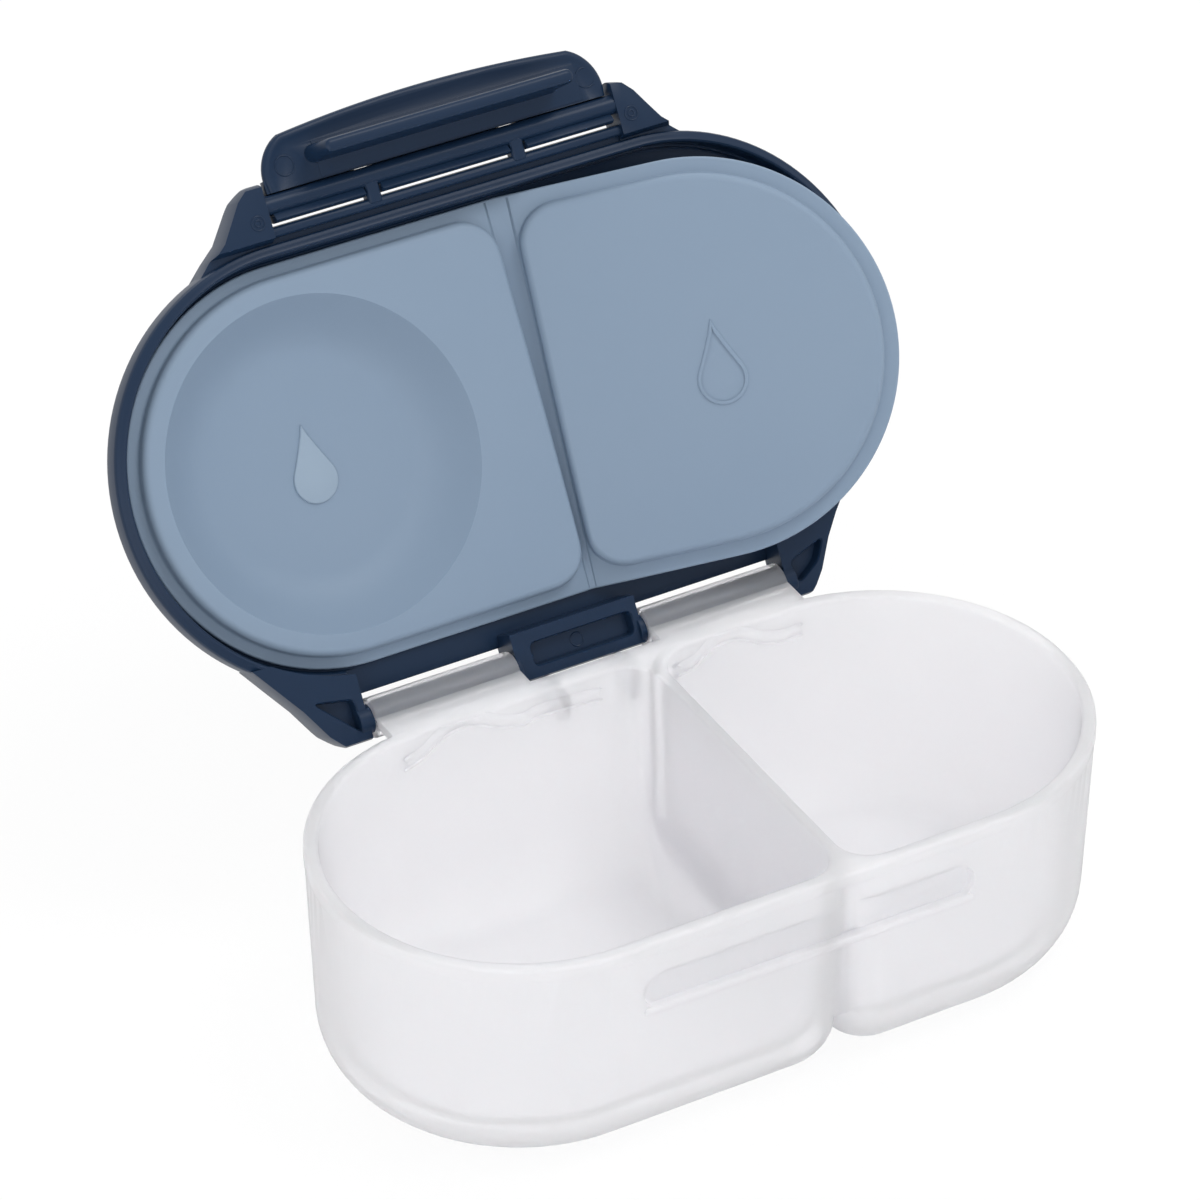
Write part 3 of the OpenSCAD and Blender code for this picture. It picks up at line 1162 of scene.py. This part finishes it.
@dataclass
class Lid:
    """The navy lid: ridged skirt, hinge block, swept ears and the latch rod."""

    at: Layout
    skirt_low: float = 44.35
    skirt_in: float = 40.35
    skirt_out: float = 42.745
    plate_low: float = 50.35
    top: float = 51.55
    round_top: float = 2.5
    block_half: float = 13.7
    block_round: float = 5.0
    ear_x: float = 46.3
    reach_x: float = 72.0
    window_r: float = 29.5
    latch_ear_x: float = 37.9
    latch_ear_r: float = 4.4
    post_back: float = -44.6
    ledge_low: Point2 = (-44.9, 46.55)
    ledge_high: Point2 = (-40.85, 49.5)
    lip_low: Point2 = (-45.9, 44.6)
    lip_high: Point2 = (-43.75, 49.2)
    rod_r: float = 1.95
    band_back: float = 44.45
    notch_front: float = 39.35
    block_notch: float = 42.1
    pin_r: float = 2.82
    pin_in: float = 13.0
    pin_out: float = 48.3
    block_pocket: float = 2.6
    block_mark: Point2 = (0.9, 47.1)
    ear_mark: Point2 = (40.6, -47.4)
    ear_proud: float = 0.6
    ear_root: float = -38.0
    mark_r: float = 1.35

    def cap(self) -> Piece:
        """The cap with its skirt, a ridge along the skirt's edge and a rounded top.

        Returns:
            The cap.
        """
        low, out = self.skirt_low, self.skirt_out
        profile: list[Point2] = [(33.0, self.plate_low), (38.8, self.plate_low)]
        profile += [(39.5, 50.22), (39.78, 49.9), (39.85, 49.4), (39.9, 48.95), (40.1, 48.72)]
        profile += [(40.3, 48.62), (self.skirt_in, 48.3), (40.4, 46.4), (40.42, 45.4)]
        profile += [(40.48, 44.85), (40.68, 44.5), (41.0, low), (41.35, 44.45), (41.7, 44.75)]
        profile += [(42.1, 44.92), (42.45, 45.1), (42.68, 45.5), (out, 46.1), (out, 47.6)]
        crown = (out - self.round_top, self.top - self.round_top)
        profile += arc_points(crown, self.round_top, 0.0, math.pi / 2, 6)
        profile.append((33.0, self.top))
        rings = []
        for radius, level in profile:
            plan = stadium(radius, self.at.half_span, 64, 32)
            rings.append([(x, y, level) for x, y in plan])
        return Bench.loft("lid_cap", rings)

    def _side_view(self, centre: float) -> Piece:
        """Rounded side view of the hinge block and ears as a long bar along X.

        Args:
            centre: y of the middle of the round back.

        Returns:
            The bar, to be cut with the plan.
        """
        low, high = self.skirt_low, self.top
        level = high - self.block_round
        points: list[Point2] = [(28.0, high), (28.0, low)]
        drop = math.asin((level - low) / self.block_round)
        points += arc_points((centre, level), self.block_round, -drop, math.pi / 2, 24)
        return Bench.slab("side_view", points, -self.reach_x, self.reach_x)

    def ear(self, side: int) -> Piece:
        """Swept ear outside a barrel, with its pocket.

        Args:
            side: -1 left, 1 right.

        Returns:
            The ear.
        """
        swept = [(50.2, 53.97), (52.6, 52.2), (54.8, 49.9), (58.7, 43.6), (61.6, 39.8), (66.4, 33.4)]
        if side > 0:
            swept = [(50.0, 53.6), (52.4, 51.4), (54.4, 48.9), (57.6, 43.2), (60.6, 39.0), (65.6, 33.0)]
        plan = [(self.ear_x, 34.0), (self.ear_x, 53.97), *swept]
        ear = Bench.prism("ear", [(side * x, y) for x, y in plan], self.skirt_low, self.top)
        Bench.join(ear, [self._side_view(self.at.hinge_y - 1)], "INTERSECT")
        Bench.soften(ear, 1.25, 40.0, 4)
        if side < 0:
            pocket = [(-56.3, 42.9), (-48.1, 44.4), (-48.1, 50.9)]
        else:
            pocket = [(48.1, 45.6), (56.3, 42.9), (54.0, 47.0), (49.0, 50.2)]
        Bench.join(ear, [self._pocket(pocket, 2.4)], "DIFFERENCE")
        return ear

    def _pocket(self, corners: Sequence[Point2], depth: float) -> Piece:
        """Cutter of a moulded pocket in the skirt's face, narrower at its floor.

        Args:
            corners: corners of the pocket, in XY.
            depth: its depth.

        Returns:
            The cutter.
        """
        plan = round_corners(corners, 1.3)
        low = self.skirt_low
        steps = ((low - 1.5, -0.6), (low, -0.25), (low + 0.3, 0.0), (low + depth, 0.3))
        return Bench.stack("pocket", plan, steps)

    def block(self) -> Piece:
        """Hinge block between the barrels, with its pocket.

        Returns:
            The block.
        """
        half = self.block_half
        plan = [(-half, 30.0), (half, 30.0), (half, 53.0), (-half, 53.0)]
        block = Bench.prism("hinge_block", plan, self.skirt_low, self.top)
        Bench.join(block, [self._side_view(self.at.hinge_y - 1.97)], "INTERSECT")
        low_y, high_y = self.at.hinge_y - 4.2, self.at.hinge_y + 0.4
        pocket = [(-10.0, low_y), (12.2, low_y), (12.2, high_y), (-10.0, high_y)]
        Bench.join(block, [self._pocket(pocket, self.block_pocket)], "DIFFERENCE")
        return block

    def latch_ear(self, side: int) -> Piece:
        """Swept ear that carries an end of the latch rod.

        Args:
            side: -1 left, 1 right.

        Returns:
            The ear.
        """
        rod = self.at.rod_y
        swept = [(41.0, rod - 4.2), (43.4, rod - 2.2), (45.6, rod + 0.9), (48.2, rod + 4.6)]
        swept += [(51.6, rod + 7.4), (56.5, self.ear_root)]
        if side > 0:
            swept = [(40.4, rod - 3.6), (42.4, rod - 1.6), (44.2, rod + 1.2), (46.6, rod + 4.8)]
            swept += [(49.6, rod + 7.6), (54.5, self.ear_root)]
        front = rod - (5.0 if side < 0 else 4.4)
        plan = [(self.latch_ear_x, self.ear_root), (self.latch_ear_x, front), *swept]
        ear = Bench.prism("latch_ear", [(side * x, y) for x, y in plan], self.skirt_low - 3, 53.0)
        face = self.skirt_low - self.ear_proud
        points = [(self.ear_root, self.top), (self.ear_root, 46.2), (-43.0, 46.2), (-43.9, face)]
        start = -math.pi - math.asin((face - self.at.rod_z) / self.latch_ear_r)
        boss = (rod, self.at.rod_z)
        points += arc_points(boss, self.latch_ear_r, start, -math.pi * 1.5, 24)
        side_view = Bench.slab("side_view", points, -self.reach_x, self.reach_x)
        Bench.join(ear, [side_view], "INTERSECT")
        Bench.soften(ear, 0.8, 40.0, 4)
        return ear

    def latch_parts(self) -> list[Piece]:
        """The ledge, the rod, the posts and the ears at the front.

        Returns:
            The parts.
        """
        at = self.at
        end = self.latch_ear_x + 1
        parts = [
            Bench.block("ledge", (-end, *self.ledge_low), (end, *self.ledge_high), 0.3),
            Bench.block("lip", (-end, *self.lip_low), (end, *self.lip_high), 0.95),
            Bench.bar_x("rod", self.rod_r, -end, end, at.rod_y, at.rod_z, 0.2),
        ]
        for side in (-1, 1):
            x = side * at.post_x
            half = at.post_t / 2
            corner = (x + half, self.post_back, at.rod_z + half)
            parts.append(Bench.block("post", (x - half, at.rod_y, at.rod_z - half), corner, 0.7))
            parts.append(self.latch_ear(side))
        return parts

    def build(self, material: Material) -> Piece:
        """Models the lid and puts it on its body.

        Args:
            material: the finish.

        Returns:
            The finished piece.
        """
        at = self.at
        cap = self.cap()
        hollow = Bench.prism("hollow", stadium(self.skirt_in, at.half_span), 40.0, self.plate_low)
        fittings = self.ear(-1)
        Bench.join(fittings, [self.ear(1), self.block(), *self.latch_parts()], "UNION")
        Bench.join(fittings, [hollow], "DIFFERENCE")
        half = self.ear_x + 1.0
        band = Bench.block("band", (-half, 20.0, self.plate_low), (half, self.band_back, self.top), 0.3)
        notches = []
        for low, high, front, back in (
            (self.block_half, self.ear_x, self.notch_front, 60.0),
            (-self.ear_x, -self.block_half, self.notch_front, 60.0),
            (-self.block_half - 1.0, self.block_half + 1.0, 39.0, self.block_notch),
        ):
            notches.append(Bench.block("notch", (low, front, 40.0), (high, back, self.plate_low)))
        Bench.join(cap, [band, fittings], "UNION")
        Bench.join(cap, notches, "DIFFERENCE")
        opening = [(self.window_r, 49.0), (self.window_r, 53.0)]
        window = Bench.turn_z("window", opening, -at.half_span)
        Bench.join(cap, [window], "DIFFERENCE")
        Bench.soften(cap, 0.32)
        pins = []
        for low, high in ((-self.pin_out, -self.pin_in), (self.pin_in, self.pin_out)):
            pins.append(Bench.bar_x("pin", self.pin_r, low, high, at.hinge_y, at.hinge_z, 0.2))
        Bench.join(cap, pins, "UNION")
        Bench.seal_up(cap, 0.003)
        x, y = self.ear_mark
        for side in (-1, 1):
            for radius in (self.mark_r, 0.6):
                Bench.ring_mark(cap, (side * x, y, self.skirt_low - self.ear_proud), radius)
        x, y = self.block_mark
        Bench.ring_mark(cap, (x, y, self.skirt_low + self.block_pocket + 0.02), self.mark_r)
        Bench.place(cap, at.swing(), material, 30.0)
        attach(cap, Body.LID.value)
        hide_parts("lid_shell")
        return cap


# Clip


@dataclass
class Clip:
    """The navy clip: a plate with a bead around it, three open hooks and a rib."""

    at: Layout
    width: float = 73.6
    reach: float = 14.3
    plate_t: float = 1.8
    plate_inner: float = -48.7
    corner: float = 9.0
    corner_turn: float = 1.15
    free_rise: float = 1.0
    hook_r: float = 3.6
    hook_in: float = 2.03
    neck_half: float = 0.9
    rib_length: float = 54.0
    rib_t: float = 3.0
    rib_drop: float = 7.1
    rib_front: float = -38.7
    gap: float = 0.35
    shift: float = 0.3
    step_corners: tuple[Point2, Point2] = ((-25.0, 36.2), (32.0, 43.4))
    marks: tuple[Point2, ...] = ((-31.6, 39.4), (33.8, 39.4))

    def outline(self, inset: float = 0.0) -> list[Point2]:
        """Front view of the plate in XZ with an arched free edge and round corners.

        Args:
            inset: distance inward from the free edges.

        Returns:
            The closed outline.
        """
        half, top = self.width / 2 - inset, self.at.rod_z - self.hook_in
        low = self.at.rod_z - self.reach + inset
        corner = max(self.corner - inset, 0.5)
        flat = half - corner
        points: list[Point2] = [(-half + 0.25, top)]
        centre = (-flat, low + self.free_rise + corner)
        points += arc_points(centre, corner, math.pi, math.pi + self.corner_turn, 12)
        first = points[-1]
        for i in range(1, 24):
            x = first[0] - 2 * first[0] * i / 24
            share = x / first[0]
            points.append((x, low + (first[1] - low) * share * share))
        for x, z in reversed(points[1:14]):
            points.append((-x, z))
        points.append((half - 0.25, top))
        return points

    def plate(self) -> Piece:
        """The plate with a rounded bead along its outer edges.

        Returns:
            The plate.
        """
        back, front = self.plate_inner - self.plate_t, self.plate_inner
        steps = [(front - 0.25, 3.2), (front - 0.22, 1.9), (front - 0.05, 1.45), (front, 1.0)]
        steps += [(front - 0.06, 0.6), (front - 0.25, 0.25), (front - 0.55, 0.03), (front - 0.8, 0.0)]
        steps += [(back + 0.7, 0.0), (back + 0.3, 0.12), (back + 0.08, 0.4), (back, 0.8)]
        rings = [[(x + self.shift, y, z) for x, z in self.outline(inset)] for y, inset in steps]
        return Bench.loft("clip_plate", rings)

    def hook(self, low: float, high: float) -> Piece:
        """One hook: a ring section open towards the tub and downwards.

        Args:
            low: x of its left side.
            high: x of its right side.

        Returns:
            The hook.
        """
        start, end = -math.pi / 2, -math.pi / 2 - math.pi * 7 / 6
        rod = (self.at.rod_y, self.at.rod_z)
        section = arc_points(rod, self.hook_r, start, end, 32)
        section += arc_points(rod, self.hook_in, end, start, 32)
        return Bench.slab("hook", section, low, high)

    def neck(self, low: float, high: float) -> Piece:
        """Web between a hook and the plate.

        Args:
            low: x of its left side.
            high: x of its right side.

        Returns:
            The web.
        """
        rod_y, rod_z = self.at.rod_y, self.at.rod_z
        corner = (high, rod_y + self.neck_half, rod_z - self.hook_in)
        return Bench.block("neck", (low, rod_y - self.neck_half, rod_z - self.hook_r - 1), corner)

    def rib(self) -> Piece:
        """The catch rib with round ends and a softened crest.

        Returns:
            The rib.
        """
        half = (self.rib_length - self.rib_t) / 2
        middle = self.at.rod_z - self.rib_drop
        plan = [(x + self.shift, z + middle) for x, z in stadium(self.rib_t / 2, half, 16, 20)]
        steps = ((self.plate_inner - 1.0, -0.35), (self.plate_inner + 0.2, -0.3))
        steps += ((self.plate_inner + 0.9, 0.0), (self.rib_front - 1.0, 0.05))
        steps += ((self.rib_front - 0.35, 0.3), (self.rib_front - 0.06, 0.7), (self.rib_front, 1.05))
        return Bench.stack("rib", plan, steps, True)

    def build(self, material: Material) -> Piece:
        """Models the clip and puts it on its body.

        Args:
            material: the finish.

        Returns:
            The finished piece.
        """
        plate = self.plate()
        inner = self.at.post_x - self.at.post_t / 2 - self.gap
        outer_low = self.at.post_x + self.at.post_t / 2 + self.gap
        outer_high = self.width / 2 - 0.1
        parts = [self.rib()]
        for low, high in ((-inner, inner), (outer_low, outer_high), (-outer_high, -outer_low)):
            parts += [self.neck(low, high), self.hook(low, high)]
        Bench.join(plate, parts, "UNION")
        (left, low), (right, high) = self.step_corners
        corner = (right, self.plate_inner - 0.13, high)
        step = Bench.block("step", (left, self.plate_inner - 1.0, low), corner, 0.05)
        Bench.join(plate, [step], "UNION")
        Bench.soften(plate, 0.22)
        Bench.seal_up(plate, 0.003)
        for x, z in self.marks:
            Bench.ring_mark(plate, (x, self.plate_inner - 0.25, z), 1.95, True)
        Bench.place(plate, self.at.clip_swing(), material, 30.0)
        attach(plate, Body.CLIP.value)
        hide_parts("latch_clip")
        return plate


# Seal


@dataclass
class Seal:
    """The soft blue-grey seal: a sheet with two pads, one of them dished."""

    at: Layout
    sheet_r: float = 39.1
    pad_low: float = 45.9
    pad_r: float = 36.7
    flap_pad_r: float = 36.0
    pad_corner: float = 8.0
    pad_clear: float = 1.7
    pad_soft: float = 1.5
    dish_r: float = 32.5
    dish_floor_r: float = 20.5
    dish_depth: float = 7.7
    drop_r: float = 4.6
    drop_neck: Point2 = (0.876, 0.48)
    drop_tip: float = 2.4
    left_rise: float = 0.55
    right_rise: float = 0.35
    right_width: float = 0.75
    left_drop: Point2 = (-39.7, 3.0)
    right_drop: Point2 = (43.6, 4.7)
    bend_half: float = 1.6

    def pad(self, side: int) -> Piece:
        """A pad with soft edges and a fillet where it leaves the sheet.

        Args:
            side: -1 left, 1 right.

        Returns:
            The pad as a closed form.
        """
        low, base = self.pad_low, self.at.sheet_low
        radius = self.pad_r if side < 0 else self.flap_pad_r
        face = self.at.divider_x + side * self.pad_clear
        plan = half_plan(side, face, radius, self.pad_corner, self.at.half_span, 56)
        if side < 0:
            plan.reverse()
        steps = [(base + 0.4, -0.42), (base, -0.4), (base - 0.1, -0.2), (base - 0.3, -0.05)]
        steps += [(base - 0.6, 0.0)]
        steps += [(low + self.pad_soft * drop, self.pad_soft * inset) for drop, inset in quarter(6)]
        return Bench.stack("pad", plan, steps)

    def dish_curve(self, offset: float) -> list[Point2]:
        """Curved side of the dish from its brim to its floor.

        Args:
            offset: distance to the back of the skin.

        Returns:
            Points of (radius, level).
        """
        points: list[Point2] = []
        wide = self.dish_r - self.dish_floor_r
        for i in range(17):
            share = i / 16
            radius = self.dish_r - wide * share
            level = self.pad_low + self.dish_depth * math.sin(math.pi / 2 * share)
            rate = math.cos(math.pi / 2 * max(share, 0.02)) * math.pi / 2
            tilt = math.atan(rate * self.dish_depth / wide)
            points.append((radius + offset * math.sin(tilt), level + offset * math.cos(tilt)))
        return points

    def drop(self, centre: Point2, radius: float) -> list[Point2]:
        """Outline of the drop shape, its tip away from the hinge.

        Args:
            centre: middle of its round end.
            radius: radius of its round end.

        Returns:
            The closed outline.
        """
        x, y = centre
        sides = []
        wide, low = self.drop_neck
        for share in (0.25, 0.5, 0.75):
            down = low + (self.drop_tip - low) * share
            sides.append((radius * wide * (1 - share) ** 1.15, y - radius * down))
        points = arc_points(centre, radius, -math.pi * 0.16, math.pi * 1.16, 32)
        points += [(x - wide, low) for wide, low in sides]
        points.append((x, y - radius * self.drop_tip))
        points += [(x + wide, low) for wide, low in reversed(sides)]
        return points

    def _relief(self, plan: Sequence[Point2], face: float, rise: float) -> Piece:
        """A low raised shape on a face that looks down, with soft edges.

        Args:
            plan: the outline.
            face: level of the face.
            rise: how far it stands out of the face.

        Returns:
            The closed form.
        """
        steps = [(face + 0.6, 0.0), (face - rise * 0.4, 0.02), (face - rise * 0.8, 0.14)]
        return Bench.stack("relief", plan, [*steps, (face - rise, 0.36)])

    def build(self, material: Material) -> Piece:
        """Models the seal, folds its right half and blends it over the fold.

        Args:
            material: the finish.

        Returns:
            The finished piece.
        """
        at, skin = self.at, self.at.sheet_t
        plan = stadium(self.sheet_r, at.half_span, 64, 60)
        seal = Bench.prism("seal_skin", plan, at.sheet_low, at.sheet_low + skin, 0.45, 0.3)
        curve, back = self.dish_curve(0.0), self.dish_curve(skin)
        floor, brim, edge = curve[-1], back[0], self.dish_r + 2.2
        profile = [(edge, self.pad_low + 0.2), (edge, brim[1]), *back]
        profile.append((back[-1][0] - 2, floor[1] + skin))
        bowl = Bench.turn_z("bowl", profile, -at.half_span)
        Bench.join(seal, [self.pad(-1), self.pad(1), bowl], "UNION")
        hollow_left = self._hollow(-1)
        Bench.join(hollow_left, [Bench.turn_z("bowl", profile, -at.half_span)], "DIFFERENCE")
        profile = [(self.dish_r + 1.9, self.pad_low - 1), (curve[0][0] + 0.1, self.pad_low - 0.05)]
        dish = Bench.turn_z("dish", [*profile, *curve, (floor[0] - 2, floor[1])], -at.half_span)
        Bench.join(seal, [hollow_left, self._hollow(1), dish], "DIFFERENCE")
        left = self._relief(self.drop(self.left_drop, self.drop_r), floor[1], self.left_rise)
        outline = self.drop(self.right_drop, self.drop_r + 0.4)
        right = self._relief(outline, self.pad_low, self.right_rise)
        plan = shrink(outline, self.right_width)
        inner = Bench.prism("inner", plan, self.pad_low - 2, self.pad_low)
        Bench.join(right, [inner], "DIFFERENCE")
        Bench.join(seal, [left, right], "UNION")
        Bench.seal_up(seal, 0.003)
        self._slice(seal)
        self._fold(seal)
        Bench.finish(seal, (material, MATT_SILICONE.build()), self._on_drop)
        Bench.place(seal, at.swing(), material, 34.0)
        start, end = (tuple(at.swing() @ point * MM) for point in self._bend_ends())
        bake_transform(seal)
        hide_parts("seal_dish_half", "seal_flap_half")
        return seal

    def _hollow(self, side: int) -> Piece:
        """Cutter of a pad's open back.

        Args:
            side: -1 left, 1 right.

        Returns:
            The cutter.
        """
        skin = self.at.sheet_t
        face = self.at.divider_x + side * (self.pad_clear + skin)
        radius = (self.pad_r if side < 0 else self.flap_pad_r) - skin
        plan = half_plan(side, face, radius, self.pad_corner - skin, self.at.half_span, 56)
        return Bench.prism("hollow", plan, self.pad_low + skin, 56.0)

    def _on_drop(self, point: Vector) -> bool:
        """Tells whether a point lies on the raised drop: in a box round it, off the dish's floor.

        Args:
            point: a face's middle.

        Returns:
            True on the drop.
        """
        x, y = self.left_drop
        rise = self.pad_low + self.dish_depth - point.z
        return abs(point.x - x) < 6.5 and -13 < point.y - y < 6.5 and 0.05 < rise < 1.0

    def _slice(self, seal: Piece) -> None:
        """Cuts the sheet across the fold so that it can bend.

        Args:
            seal: the flat seal.
        """
        for i in range(14):
            x = self.at.divider_x - self.bend_half + 2 * self.bend_half * i / 8
            cut = {"plane_co": (x, 0, self.at.sheet_low), "plane_no": (1, 0, 0)}
            Bench.edit(seal, lambda: bpy.ops.mesh.bisect(**cut))

    @staticmethod
    def _ease(share: float) -> float:
        """Smooth step from 0 to 1."""
        share = min(1.0, max(0.0, share))
        return share * share * (3 - 2 * share)

    def _fold(self, seal: Piece) -> None:
        """Turns the right half about the slanted fold line, smoothly over the fold.

        Behind the middle, the slant pulls the flap towards the dish. There each point's
        share comes from the place it ends up at, so the closed seal comes out flat.

        Args:
            seal: the flat seal.
        """
        at = self.at
        start, end = self._bend_ends()
        run = end - start
        for vertex in seal.data.vertices:
            flat = vertex.co.copy()
            share = self._ease((flat.x - start.x) / (2 * self.bend_half))
            for _ in range(24 if flat.y > 0 else 0):
                place = at.fold(share) @ flat
                found = self._ease((place - start).dot(run) / run.length_squared)
                if abs(found - share) < 0.0005:
                    break
                share = (share + found) / 2
            if share > 0:
                vertex.co = at.fold(share) @ flat

    def _bend_ends(self) -> tuple[Vector, Vector]:
        """Start and end of the bend in the folded seal, before the lid's swing.

        Returns:
            The two points.
        """
        at = self.at
        level = at.sheet_low + at.sheet_t / 2
        start = Vector((at.divider_x - self.bend_half, 0, level))
        return start, at.fold(1.0) @ Vector((at.divider_x + self.bend_half, 0, level))


# Studio


@dataclass
class Studio:
    """Camera at the photograph's view, soft lamps, pale floor and white backdrop."""

    turn: float = -29.51
    height: float = 35.54
    distance: float = 1.300
    slide: Point2 = (-0.01965, 0.07198)
    lens: float = 202.99
    surround: float = 0.78
    table_tone: float = 0.94
    table_glow: float = 0.9
    lamps: tuple[tuple[str, Point3, float, float], ...] = (
        ("key", (0.50, -0.30, 1.35), 0.6, 5.6),
        ("fill", (-0.75, -1.0, 0.6), 1.1, 3.8),
        ("back", (0.15, 1.0, 0.9), 1.0, 4.0),
    )

    def camera(self) -> None:
        """Adds the camera at the viewing angle of the photograph."""
        turn, height = math.radians(self.turn), math.radians(self.height)
        back = Vector(
            (math.cos(height) * math.sin(turn), -math.cos(height) * math.cos(turn), math.sin(height))
        )
        right = Vector((math.cos(turn), math.sin(turn), 0.0))
        up = back.cross(right)
        place = back * self.distance + right * self.slide[0] + up * self.slide[1]
        data = bpy.data.cameras.new("view")
        data.lens = self.lens
        data.sensor_width = 36.0
        data.clip_start, data.clip_end = 0.05, 20.0
        camera = bpy.data.objects.new("view", data)
        facing = Matrix((right, up, back)).transposed().to_4x4()
        camera.matrix_world = Matrix.Translation(place) @ facing
        bpy.context.scene.collection.objects.link(camera)
        bpy.context.scene.camera = camera

    def light(self) -> None:
        """Adds the soft lamps."""
        for name, place, size, power in self.lamps:
            data = bpy.data.lights.new(name, "AREA")
            data.shape = "DISK"
            data.size = size
            data.energy = power
            lamp = bpy.data.objects.new(name, data)
            lamp.location = place
            aim = Vector((0.0, 0.0, 0.05)) - Vector(place)
            lamp.rotation_euler = aim.to_track_quat("-Z", "Y").to_euler()
            bpy.context.scene.collection.objects.link(lamp)

    def world(self) -> None:
        """A soft white surround that the camera, gloss and clear plastic see as white."""
        world = bpy.data.worlds.new("surround")
        world.use_nodes = True
        bpy.context.scene.world = world
        tree = world.node_tree
        soft = tree.nodes["Background"]
        socket_set(soft, {"Color": (1.0, 1.0, 1.0, 1.0), "Strength": self.surround})
        seen = add_node(tree, "Background", Color=(1.0, 1.0, 1.0, 1.0), Strength=1.0)
        mix = add_node(tree, "MixShader")
        tree.links.new(self._seen_rays(tree), mix.inputs["Fac"])
        wire(tree, soft, "Background", mix, 1)
        wire(tree, seen, "Background", mix, 2)
        wire(tree, mix, "Shader", tree.nodes["World Output"], "Surface")

    @staticmethod
    def _seen_rays(tree: Tree) -> Socket:
        """Socket that is 1 for camera, glossy and transmission rays.

        Args:
            tree: the tree of a material or of the world.

        Returns:
            The socket.
        """
        path = add_node(tree, "LightPath")
        seen = path.outputs["Is Camera Ray"]
        for ray in ("Is Glossy Ray", "Is Transmission Ray"):
            larger = add_node(tree, "Math")
            larger.operation = "MAXIMUM"
            tree.links.new(seen, larger.inputs[0])
            wire(tree, path, ray, larger, 1)
            seen = larger.outputs["Value"]
        return seen

    def floor(self) -> None:
        """A wide white table top that keeps the shadow of the object."""
        bpy.ops.mesh.primitive_plane_add(size=8.0, location=(0, 0, -0.0002))
        floor = bpy.context.object
        floor.name = "table_top"
        material = bpy.data.materials.new("white_table_top")
        material.use_nodes = True
        tree = material.node_tree
        tree.nodes.remove(tree.nodes["Principled BSDF"])
        tone = self.table_tone
        matt = add_node(tree, "BsdfDiffuse", Color=(tone, tone, tone, 1.0))
        glow = add_node(tree, "Emission", Strength=1.0)
        mix = add_node(tree, "MixShader")
        share = add_node(tree, "Math")
        share.operation = "MULTIPLY"
        share.inputs[1].default_value = self.table_glow
        tree.links.new(self._seen_rays(tree), share.inputs[0])
        wire(tree, share, "Value", mix, "Fac")
        wire(tree, matt, "BSDF", mix, 1)
        wire(tree, glow, "Emission", mix, 2)
        wire(tree, mix, "Shader", tree.nodes["Material Output"], "Surface")
        floor.data.materials.append(material)

    def build(self) -> None:
        """Builds the whole studio."""
        scene = bpy.context.scene
        scene.view_settings.view_transform = "Standard"
        self.camera()
        self.light()
        self.world()
        self.floor()


def main() -> None:
    """Builds the dressed container and its studio."""
    logging.basicConfig(level=logging.INFO, format="%(name)s: %(message)s")
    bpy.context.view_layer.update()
    Bench.clear()
    layout = Layout()
    Studio().build()
    milky = MILKY_POLYPROPYLENE.build()
    navy = NAVY_POLYPROPYLENE.build()
    silicone = BLUE_GREY_SILICONE.build()
    jobs = ((Tub(layout), milky), (Lid(layout), navy), (Clip(layout), navy), (Seal(layout), silicone))
    for maker, finish in jobs:
        piece = maker.build(finish)
        LOG.info("%s: %d faces", piece.name, len(piece.data.polygons))


if __name__ == "__main__":
    main()
